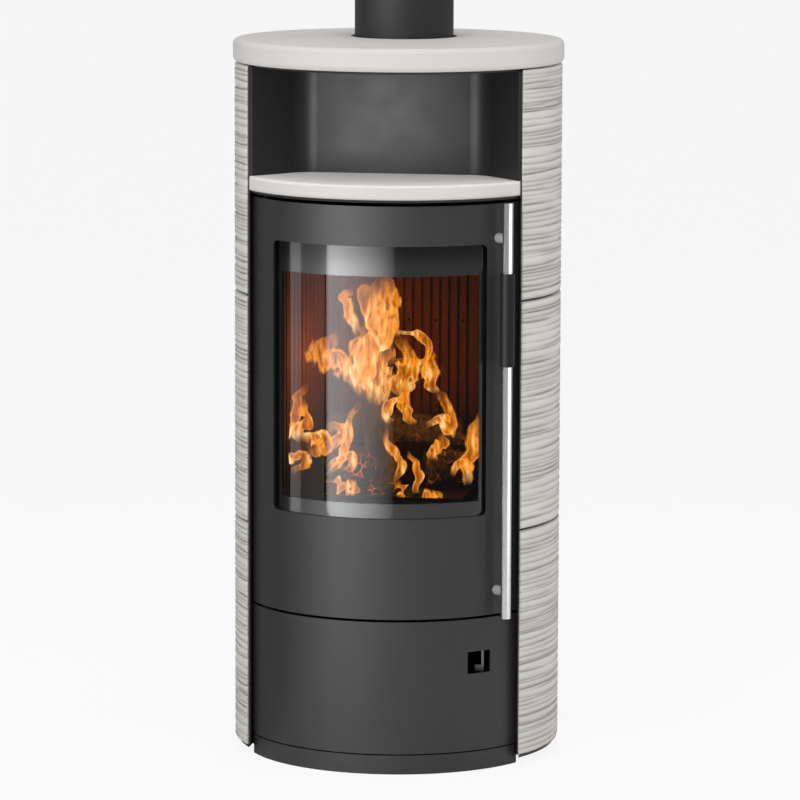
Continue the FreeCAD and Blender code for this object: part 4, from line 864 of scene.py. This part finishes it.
@dataclass(frozen=True)
class Flame(Finish):
    """Glowing gas in thin sheets: clear inside, brighter along ragged edges, fading to the tip."""

    RAG_SCALE, RAG_STRETCH, RAG_IN, RAG_OUT = 75.0, (1.0, 1.0, 0.4), -0.42, 0.38
    WISP_SCALE, WISP_STRETCH = 120.0, (1.0, 1.0, 0.3)
    EDGE_START, EDGE_END, RIM_START, RIM_MOST = 0.72, 0.98, 0.2, 0.65
    TIP_START, FOOT_END, COOL_TIP = 0.55, 0.25, 0.6
    VEIL_START, VEIL_END, VEIL_LEAST, VEIL_MOST = 0.1, 0.95, 0.35, 0.85
    DEEP_AT, MIDDLE_AT, CORE_AT = 0.05, 0.5, 0.92

    core: Colour = (1.0, 0.74, 0.34)
    deep: Colour = (0.62, 0.11, 0.004)
    strength: float = 1.4

    def build(self) -> None:
        """Make the nodes of the material."""
        graph, shader = self.begin()
        split = graph.add("ShaderNodeSeparateXYZ", Vector=graph.add("ShaderNodeTexCoord").outputs["UV"])
        rise = split.outputs["Y"]
        twice = graph.times(split.outputs["X"], 2.0)
        off_middle = graph.math("ABSOLUTE", graph.math("SUBTRACT", twice, 1.0))
        rags = graph.grain(Stretch=self.RAG_STRETCH, Scale=self.RAG_SCALE, Detail=4.0, Low=self.RAG_IN,
                           High=self.RAG_OUT)
        wisps = graph.grain(Stretch=self.WISP_STRETCH, Scale=self.WISP_SCALE, Detail=3.0)
        ragged = graph.math("ADD", off_middle, rags)
        inside = graph.spread(ragged, self.EDGE_START, self.EDGE_END, 1.0, 0.0)
        edge = graph.spread(ragged, self.RIM_START, self.EDGE_START, 0.0, self.RIM_MOST)
        rim = graph.times(edge, inside)
        tip = graph.spread(rise, self.TIP_START, 1.0, 1.0, 0.0)
        foot = graph.spread(rise, 0.0, self.FOOT_END, 0.0, 1.0)
        veil = graph.spread(wisps, self.VEIL_START, self.VEIL_END, self.VEIL_LEAST, self.VEIL_MOST)
        body = graph.times(inside, graph.math("MAXIMUM", veil, rim))
        cover = graph.times(body, graph.times(tip, foot))
        cooling = graph.spread(rise, 0.0, 1.0, 1.0, self.COOL_TIP)
        ramp = graph.add("ShaderNodeValToRGB",
                         Fac=graph.times(graph.math("MAXIMUM", rim, wisps), cooling))
        stops = ramp.color_ramp.elements
        stops[0].position, stops[0].color = self.DEEP_AT, (*self.deep, 1.0)
        stops[1].position, stops[1].color = self.CORE_AT, (*self.core, 1.0)
        stops.new(self.MIDDLE_AT).color = (*self.colour, 1.0)
        graph.put(shader, Base_Color=(0.0, 0.0, 0.0, 1.0), Roughness=self.roughness, Specular_IOR_Level=0.0,
                  Emission_Color=ramp.outputs["Color"], Emission_Strength=self.strength, Alpha=cover)


@dataclass(frozen=True)
class Char(Finish):
    """Burning wood: black checked bark, with cracks that glow low down."""

    BARK_SCALE, BARK_STRETCH, BARK_SPREAD, BARK_RELIEF, BARK_DEPTH = 150.0, (1.0, 1.0, 0.6), 0.7, 0.5, 0.0015
    CRACK_SCALE, CRACK_WIDTH = 64.0, 0.06
    EMBER_SCALE, EMBER_LEAST = 17.0, -0.9
    COLD, HOT = (0.0, 0.0, 0.0, 1.0), (1.0, 0.20, 0.01, 1.0)
    SPECULAR = 0.2

    glow: float = 1.6
    ember_low: float = 0.430
    ember_high: float = 0.505

    def build(self) -> None:
        """Make the nodes of the material."""
        graph, shader = self.begin()
        bark = graph.grain(Stretch=self.BARK_STRETCH, Scale=self.BARK_SCALE, Detail=5.0)
        place = graph.place()
        cells = graph.add("ShaderNodeTexVoronoi", {"feature": "DISTANCE_TO_EDGE"}, Vector=place, Scale=self.CRACK_SCALE)
        crack = graph.spread(cells.outputs["Distance"], 0.0, self.CRACK_WIDTH, 1.0, 0.0)
        level = graph.add("ShaderNodeSeparateXYZ", Vector=place).outputs["Z"]
        low = graph.spread(level, self.ember_low, self.ember_high, 1.0, 0.0)
        embers = graph.grain(Scale=self.EMBER_SCALE, Detail=3.0, Low=self.EMBER_LEAST, High=1.0)
        lit = graph.times(graph.times(crack, low), graph.math("MAXIMUM", embers, 0.0))
        graph.put(shader, Base_Color=graph.blend(bark, *self.shades(self.BARK_SPREAD)), Roughness=self.roughness,
                  Specular_IOR_Level=self.SPECULAR, Emission_Color=graph.blend(lit, self.COLD, self.HOT),
                  Emission_Strength=self.glow)
        self.bump(graph, shader, bark, self.BARK_RELIEF, self.BARK_DEPTH)


FLAME = Flame("flame", (1.0, 0.32, 0.018), 1.0)
CHAR = Char("charred_wood", (0.022, 0.018, 0.016), 0.85)


@dataclass
class LaidFire:
    """Burning logs on the hearth, in the place of the plain ones, with their flames and glow."""

    LOGS = (
        ((-114.0, 46.0, 431.6), (-42.0, 20.0, 431.6), 33.0),
        ((42.0, 20.0, 431.6), (112.0, 52.0, 431.6), 33.0),
        ((-112.0, 38.0, 492.9), (104.0, 38.0, 492.9), 28.0),
        ((-15.0, -41.8, 401.8), (-41.0, 12.4, 618.6), 27.0),
    )
    TONGUES = (
        (-52, 18.9, (-24, 592), (-33, 626), (-21, 659), (-33, 692), (-24, 723), (-18, 743)),
        (-40, 12.2, (-20, 627), (-11, 651), (-15, 678), (-8, 703), (-11, 727), (-23, 739)),
        (-45, 6.7, (-46, 643), (-59, 670), (-69, 688), (-78, 706), (-68, 716), (-62, 720)),
        (-58, 14.0, (-53, 563), (-66, 598), (-81, 614), (-99, 622), (-92, 640), (-75, 648)),
        (-50, 14.6, (-52, 549), (-50, 586), (-46, 619), (-40, 650), (-43, 677)),
        (-36, 18.3, (-36, 538), (-30, 568), (-36, 602), (-22, 626), (-24, 650)),
        (-54, 4.3, (1, 659), (22, 657), (40, 653), (59, 640), (52, 617), (28, 610), (4, 607), (-8, 603)),
        (-44, 16.7, (10, 548), (12, 579), (19, 600), (23, 627), (22, 653)),
        (-50, 7.9, (72, 562), (65, 586), (55, 616), (58, 637)),
        (-60, 5.5, (-4, 512), (-7, 527), (5, 551), (23, 563), (11, 581)),
        (-58, 7.3, (29, 511), (24, 532), (21, 557), (17, 581)),
        (-56, 7.3, (51, 515), (71, 520), (92, 512), (94, 528), (76, 550), (65, 562)),
        (-70, 6.1, (-152, 454), (-163, 486), (-155, 519), (-143, 544), (-137, 562), (-123, 576)),
        (-62, 8.5, (-137, 482), (-143, 503), (-134, 521), (-141, 539), (-137, 557)),
        (-66, 9.1, (-136, 482), (-125, 494), (-104, 484), (-119, 472), (-133, 479)),
        (-72, 6.7, (-164, 483), (-158, 459), (-138, 462), (-146, 444), (-150, 429)),
        (-74, 5.5, (-98, 428), (-78, 452), (-69, 477), (-66, 508), (-59, 535), (-51, 559)),
        (-76, 4.9, (-89, 435), (-75, 458), (-61, 461), (-66, 444), (-81, 441)),
        (-66, 7.3, (-101, 482), (-86, 491), (-75, 499), (-87, 506), (-105, 505)),
        (-66, 4.6, (9, 424), (15, 446), (9, 467), (0, 491), (-3, 516)),
        (-68, 4.8, (52, 410), (43, 434), (38, 458), (30, 476)),
        (-70, 5.2, (43, 400), (58, 404), (73, 406), (67, 418)),
        (-70, 4.6, (12, 401), (22, 406), (17, 416), (12, 428)),
        (-62, 6.7, (66, 459), (69, 475), (81, 488), (74, 500)),
        (-60, 8.2, (120, 420), (117, 451), (125, 481), (133, 515), (134, 537)),
        (-66, 4.6, (96, 435), (105, 455), (120, 456), (121, 473)),
        (-72, 5.5, (-62, 401), (-59, 416), (-63, 427)),
        (-70, 6.1, (-91, 422), (-79, 418), (-65, 411), (-56, 404)),
    )
    TAPER, SHRINK, BEND, BEND_RATES = 0.9, 0.90, 0.12, (31.0, 23.0)
    SWELL, SWELL_RATE, LOG_OFFSET, KNOT, KNOT_RATE = 0.16, 24.0, 40.0, 0.10, 90.0
    CHECK, CHECKS, CHECK_RATE, CHECK_SWAY = 0.05, 9.0, 30.0, 3.0
    OFFSET_MOST, LEAN_MOST, LOOK = 90.0, 0.5, 0.02
    SHEET_SWELL, SHEET_RATE, SHEET_CURVE, SHEET_FOOT = 0.9, 5.0, 0.6, 0.07
    SWAY, SWAY_RATE = 0.012, 4.0
    GLOW_COLOUR, GLOW_SIZE = (1.0, 0.38, 0.03), 0.05
    GLOWS = (((0.0, -40.0, 560.0), 1.2), ((-40.0, -30.0, 680.0), 0.6), ((30.0, -60.0, 450.0), 0.5),
             ((-110.0, -60.0, 500.0), 0.5), ((-105.0, -45.0, 620.0), 1.2))

    nodes: Nodes
    body: str = "stove_body"
    seed: int = 11
    fullness: float = 1.6
    rows: int = 40
    columns: int = 8
    log_cuts: int = 30
    log_sides: int = 36

    def log(self, start: Vector, end: Vector, radius: float) -> bpy.types.Mesh:
        """Make one rough log.

        Args:
            start: Middle of its first end.
            end: Middle of its other end.
            radius: Its radius before the bark swells and sinks.

        Returns:
            A mesh for the piece that all logs go into.
        """
        mesh = bmesh.new()
        way = end - start
        bmesh.ops.create_cone(mesh, cap_ends=True, segments=self.log_sides, radius1=radius, radius2=radius * self.TAPER,
                              depth=way.length)
        long = [edge for edge in mesh.edges if abs(edge.verts[0].co.z - edge.verts[1].co.z) > radius]
        bmesh.ops.subdivide_edges(mesh, edges=long, cuts=self.log_cuts)
        for vert in mesh.verts:
            swell = self.SWELL * noise.noise(vert.co * self.SWELL_RATE + start * self.LOG_OFFSET)
            swell += self.KNOT * noise.noise(vert.co * self.KNOT_RATE)
            around = math.atan2(vert.co.y, vert.co.x)
            grown = self.CHECK_SWAY * noise.noise(vert.co * self.CHECK_RATE)
            check = self.CHECK * abs(math.sin(self.CHECKS * around + grown))
            across, along = (vert.co.z * rate for rate in self.BEND_RATES)
            bend = self.BEND * radius * Vector((math.sin(across + 1.0), math.cos(along), 0.0))
            vert.co.x *= self.SHRINK + swell - check
            vert.co.y *= self.SHRINK + swell - check
            vert.co += bend
        turn = way.to_track_quat("Z", "Y").to_matrix().to_4x4()
        bmesh.ops.transform(mesh, matrix=Matrix.Translation((start + end) / 2) @ turn, verts=mesh.verts)
        data = bpy.data.meshes.new("log")
        mesh.to_mesh(data)
        mesh.free()
        return data

    def logs(self) -> None:
        """Make all logs as one piece."""
        heap = bmesh.new()
        for start, end, radius in self.LOGS:
            data = self.log(Vector(start) * MM, Vector(end) * MM, radius * MM)
            heap.from_mesh(data)
            bpy.data.meshes.remove(data)
        dress(self.nodes, CHAR, ("fire_logs",))
        piece = new_piece("charred_logs", heap, CHAR)
        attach(piece, self.body)
        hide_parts("fire_logs")

    @staticmethod
    def follow(points: list[Vector], share: float) -> Vector:
        """Find a place on the smooth line through some points.

        Args:
            points: The points of the line.
            share: How far along it, from 0 to 1.

        Returns:
            The place.
        """
        spot = share * (len(points) - 1)
        step = min(int(spot), len(points) - 2)
        rest = spot - step
        before, here = points[max(step - 1, 0)], points[step]
        there, after = points[step + 1], points[min(step + 2, len(points) - 1)]
        bend = 2.0 * before - 5.0 * here + 4.0 * there - after
        turn = 3.0 * here - before - 3.0 * there + after
        return here + 0.5 * rest * (there - before + rest * (bend + rest * turn))

    def tongue(self, mesh: bmesh.types.BMesh, points: list[Vector], width: float, draw: random.Random) -> None:
        """Add one sheet of flame along a line.

        Args:
            mesh: The mesh of all flames.
            points: The line that the sheet follows upwards.
            width: Half its width at the widest.
            draw: Source of the chances.
        """
        shift = draw.uniform(0.0, self.OFFSET_MOST)
        lean = draw.uniform(-self.LEAN_MOST, self.LEAN_MOST)
        sheet = bmesh.ops.create_grid(mesh, x_segments=self.columns, y_segments=self.rows, size=0.5, calc_uvs=True)
        for vert in sheet["verts"]:
            rise, side = vert.co.y + 0.5, vert.co.x * 2.0
            here = self.follow(points, rise)
            ahead, behind = min(rise + self.LOOK, 1.0), max(rise - self.LOOK, 0.0)
            way = self.follow(points, ahead) - self.follow(points, behind)
            across = Vector((way.z, 0.0, -way.x)).normalized()
            swell = 1.0 + self.SHEET_SWELL * noise.noise(Vector((shift + 5.0, rise * self.SHEET_RATE, side)))
            share = min(rise * (1.0 - self.SHEET_FOOT) + self.SHEET_FOOT, 1.0)
            wide = width * (math.sin(math.pi * share) ** self.SHEET_CURVE) * swell
            sway = self.SWAY * noise.noise(Vector((shift, rise * self.SWAY_RATE, 1.0)))
            vert.co = here + across * (side * wide + sway) + Vector((0.0, side * wide * lean, 0.0))

    def flames(self) -> None:
        """Make all flames as one piece."""
        mesh = bmesh.new()
        mesh.loops.layers.uv.new("sheet")
        draw = random.Random(self.seed)
        for depth, width, *line in self.TONGUES:
            points = [Vector((x, depth, z)) * MM for x, z in line]
            self.tongue(mesh, points, self.fullness * width * MM, draw)
        piece = new_piece("flames", mesh, FLAME)
        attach(piece, self.body)

    def glow(self) -> None:
        """Light the fire chamber from inside."""
        for index, (place, power) in enumerate(self.GLOWS):
            lamp = bpy.data.lights.new(f"fire_glow_{index}", "POINT")
            lamp.energy = power
            lamp.color = self.GLOW_COLOUR
            lamp.shadow_soft_size = self.GLOW_SIZE
            light = put_in_scene(lamp.name, lamp)
            light.location = Vector(place) * MM
            light.visible_camera = light.visible_glossy = light.visible_transmission = False

    def build(self) -> None:
        """Make the logs, the flames and their glow."""
        self.logs()
        self.flames()
        self.glow()


@dataclass
class Studio:
    """Floor, light and camera."""

    GLOSSY = ("door_glass", "door_panel", "wood_door_panel", "plinth_front", "flue_pipe", "top_plate", "shelf_plate",
              "handle_grip")
    EVEN, FALL = ((0.0, 1.0), (1.0, 1.0)), ((0.0, 0.45), (0.06, 1.0), (0.25, 0.9), (1.0, 0.05))
    WHITE = (1.0, 1.0, 1.0, 1.0)
    FLOOR_HALF, FLOOR_PALE, FLOOR_ROUGHNESS = 30.0, (0.88, 0.88, 0.88, 1.0), 0.9
    FLOOR_WHITE, FLOOR_MIRRORED = 0.88, 0.05
    AROUND, GLOSS_LOSS, MIRROR_LOSS = 0.38, 0.1, 0.23
    FLAG_DEPTH, FLAG_FULL, FLAG_END = 0.9, 0.2, 0.8
    AIM_HIGHEST = 1.1
    SENSOR, FARTHEST = 36.0, 100.0

    nodes: Nodes
    azimuth: float = math.radians(9.3)
    distance: float = 7.2938
    height: float = 1.5855
    aim_height: float = 0.5425
    aim_right: float = 0.0039
    roll: float = 0.0035
    lens: float = 213.1

    @staticmethod
    def seen(graph: Graph, path: bpy.types.Node) -> Socket:
        """Tell what is looked at, straight or through clear glass.

        Args:
            graph: The tree that the test goes into.
            path: Its Light Path node.

        Returns:
            1 for such a ray and 0 for any other.
        """
        bounces = graph.math("ADD", path.outputs["Diffuse Depth"], path.outputs["Glossy Depth"])
        straight = graph.math("LESS_THAN", bounces, 0.5)
        through = graph.times(path.outputs["Is Transmission Ray"], straight)
        return graph.math("MAXIMUM", path.outputs["Is Camera Ray"], through)

    @staticmethod
    def flag(graph: Graph, vector: Socket) -> Socket:
        """Tell what a dark flag at the stove's left covers.

        Args:
            graph: The tree that the test goes into.
            vector: A place or a direction.

        Returns:
            The flag's depth to the left of the stove, fading to 0 before it and behind it.
        """
        split = graph.add("ShaderNodeSeparateXYZ", Vector=vector)
        left = graph.times(split.outputs["X"], -1.0)
        aside = graph.math("DIVIDE", graph.math("ABSOLUTE", split.outputs["Y"]), graph.math("MAXIMUM", left, 0.001))
        beside = graph.spread(aside, Studio.FLAG_FULL, Studio.FLAG_END, Studio.FLAG_DEPTH, 0.0)
        return graph.times(beside, graph.math("GREATER_THAN", left, 0.0))

    def floor(self) -> None:
        """Make a pale floor that keeps a faint shadow."""
        mesh = bmesh.new()
        bmesh.ops.create_grid(mesh, x_segments=2, y_segments=2, size=self.FLOOR_HALF)
        material = bpy.data.materials.new("studio_floor")
        material.use_nodes = True
        graph = Graph(material.node_tree)
        shader = material.node_tree.nodes["Principled BSDF"]
        graph.put(shader, Base_Color=self.FLOOR_PALE, Roughness=self.FLOOR_ROUGHNESS)
        white = graph.add("ShaderNodeEmission", Color=self.WHITE, Strength=1.0)
        dark = graph.add("ShaderNodeEmission", Strength=self.FLOOR_MIRRORED)
        path = graph.add("ShaderNodeLightPath")
        hidden = graph.math("MAXIMUM", path.outputs["Is Singular Ray"], self.flag(graph, graph.place()))
        mirrored = graph.times(path.outputs["Is Glossy Ray"], hidden)
        ground = graph.overlay(mirrored, shader.outputs[0], dark.outputs[0])
        cover = graph.times(self.seen(graph, path), self.FLOOR_WHITE)
        surface = graph.overlay(cover, ground, white.outputs[0])
        graph.put(material.node_tree.nodes["Material Output"], Surface=surface)
        data = bpy.data.meshes.new("studio_floor")
        mesh.to_mesh(data)
        mesh.free()
        data.materials.append(material)
        floor = put_in_scene("studio_floor", data)

    def world(self) -> None:
        """Set a white surround for the camera and a soft grey one for the light."""
        world = bpy.data.worlds.new("studio")
        world.use_nodes = True
        bpy.context.scene.world = world
        graph = Graph(world.node_tree)
        backdrop = world.node_tree.nodes["Background"]
        path = graph.add("ShaderNodeLightPath")
        glossy = path.outputs["Is Glossy Ray"]
        sharp = graph.times(path.outputs["Is Singular Ray"], self.MIRROR_LOSS)
        loss = graph.times(glossy, graph.math("ADD", sharp, self.GLOSS_LOSS))
        flagged = graph.times(self.flag(graph, graph.add("ShaderNodeTexCoord").outputs["Generated"]), glossy)
        level = graph.times(graph.math("SUBTRACT", self.AROUND, loss), graph.math("SUBTRACT", 1.0, flagged))
        outside = graph.math("SUBTRACT", 1.0, path.outputs["Is Transmission Ray"])
        strength = graph.math("MAXIMUM", self.seen(graph, path), graph.times(level, outside))
        graph.put(backdrop, Color=self.WHITE, Strength=strength)

    def group(self, name: str, members: tuple[str, ...]) -> bpy.types.Collection:
        """Put CAD nodes into a collection for a lamp.

        Args:
            name: Name of the collection.
            members: The nodes.

        Returns:
            The new collection.
        """
        group = bpy.data.collections.new(name)
        for node in members:
            group.objects.link(self.nodes[node])
        return group

    def lamp(self, use: LampUse, name: str, bearing: float, height: float, size: Pair, power: float,
             profile: tuple[Pair, ...] = EVEN, distance: float = 2.2,
             only: tuple[str, ...] = (), past: tuple[str, ...] = ()) -> None:
        """Hang one soft box.

        Args:
            use: Whether it lights surfaces or is mirrored in them.
            name: Name of the lamp.
            bearing: Degrees to the right of the camera's direction, seen from the stove.
            height: Metres above the floor.
            size: Width and height of the box.
            power: Watts.
            profile: Places across the box from its left edge, each with its share of the strength.
            distance: Metres from the stove's axis.
            only: The nodes that it shines on, where it isn't all of them.
            past: The nodes that throw its shadows, where it isn't all of them.
        """
        light = bpy.data.lights.new(name, "AREA")
        light.shape = "RECTANGLE"
        light.size, light.size_y = size
        light.energy = power
        light.use_nodes = True
        graph = Graph(light.node_tree)
        split = graph.add("ShaderNodeSeparateXYZ", Vector=graph.add("ShaderNodeNewGeometry").outputs["Parametric"])
        level = graph.add("ShaderNodeValToRGB", Fac=split.outputs["X"])
        stops = level.color_ramp.elements
        for spot, _ in profile[1:-1]:
            stops.new(spot)
        for stop, (spot, share) in zip(stops, profile):
            stop.position, stop.color = spot, (share, share, share, 1.0)
        graph.put(light.node_tree.nodes["Emission"], Strength=level.outputs["Color"])
        turn = self.azimuth + math.radians(bearing)
        place = Vector((math.sin(turn) * distance, -math.cos(turn) * distance, height))
        box = put_in_scene(name, light)
        box.location = place
        aim = Vector((0.0, 0.0, min(height, self.AIM_HIGHEST)))
        box.rotation_euler = (aim - place).to_track_quat("-Z", "Y").to_euler()
        box.visible_camera = box.visible_transmission = False
        box.visible_diffuse = use is LampUse.SOFT
        box.visible_glossy = use is LampUse.SHINE
        if only:
            box.light_linking.receiver_collection = self.group(name + "_lit", only)
        if past:
            box.light_linking.blocker_collection = self.group(name + "_blockers", past)

    def camera(self) -> None:
        """Place the camera at the photograph's angle."""
        data = bpy.data.cameras.new("camera")
        data.lens = self.lens
        data.sensor_width = self.SENSOR
        data.clip_end = self.FARTHEST
        camera = put_in_scene("camera", data)
        side = Vector((math.cos(self.azimuth), math.sin(self.azimuth), 0.0))
        place = Vector((math.sin(self.azimuth), -math.cos(self.azimuth), 0.0)) * self.distance
        place.z = self.height
        aim = side * self.aim_right + Vector((0.0, 0.0, self.aim_height))
        look = (aim - place).to_track_quat("-Z", "Y").to_matrix()
        camera.rotation_euler = (look @ Matrix.Rotation(self.roll, 3, "Z")).to_euler()
        camera.location = place
        bpy.context.scene.camera = camera

    def build(self) -> None:
        """Make the floor, the world, the lamps and the camera."""
        self.floor()
        self.world()
        shine, soft = LampUse.SHINE, LampUse.SOFT
        self.lamp(shine, "streak_narrow", -82.0, 1.26, (0.42, 2.5), 4.2, only=("door_glass", "flue_pipe"))
        self.lamp(shine, "streak_shoulder", -66.0, 1.26, (0.84, 2.5), 4.2, ((0.0, 0.6), (1.0, 1.0)), only=self.GLOSSY)
        self.lamp(shine, "streak_broad", -28.5, 1.26, (2.19, 2.5), 84.0, self.FALL, only=self.GLOSSY)
        self.lamp(shine, "bar_shine", 58.0, 1.2, (2.6, 2.5), 34.0, only=("handle_bar",))
        self.lamp(shine, "niche_shine", -20.2, 0.94, (0.12, 0.25), 1.8, distance=0.5, only=("niche_wall",))
        self.lamp(soft, "shelf_fill", 0.0, 3.0, (1.0, 1.0), 20.0, distance=0.3, only=("shelf_plate",),
                  past=("niche_wall",))
        self.lamp(soft, "front_soft", -24.0, 1.35, (1.8, 2.5), 15.0)
        self.lamp(soft, "front_fill", 8.0, 1.5, (1.0, 1.6), 9.0, distance=2.8)
        self.lamp(soft, "gap_fill", 1.0, 1.5, (0.4, 0.4), 8.0, distance=2.8, only=("carcass_sides",))
        self.lamp(soft, "left_fill", -85.0, 1.3, (1.5, 2.5), 8.0, distance=2.6)
        self.lamp(soft, "right_fill", 80.0, 1.3, (1.5, 2.5), 16.0, distance=2.6)
        self.lamp(soft, "top_box", 0.0, 3.6, (2.4, 2.4), 34.0, distance=0.6)
        self.camera()
        bpy.context.scene.view_settings.view_transform = "Standard"


def main() -> None:
    """Build the looks of the stove and its studio."""
    logging.basicConfig(level=logging.INFO, format="%(name)s: %(message)s")
    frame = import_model()
    given = set(bpy.data.materials)
    nodes = frame["nodes"]
    for assembly in (Studio, Carcass, Sides, Doors, Firebox, LaidFire):
        assembly(nodes).build()
    plain = sorted(name for name, node in nodes.items() if given.intersection(node.data.materials))
    LOG.info("nodes with no finish of their own: %s", plain)


if __name__ == "__main__":
    main()
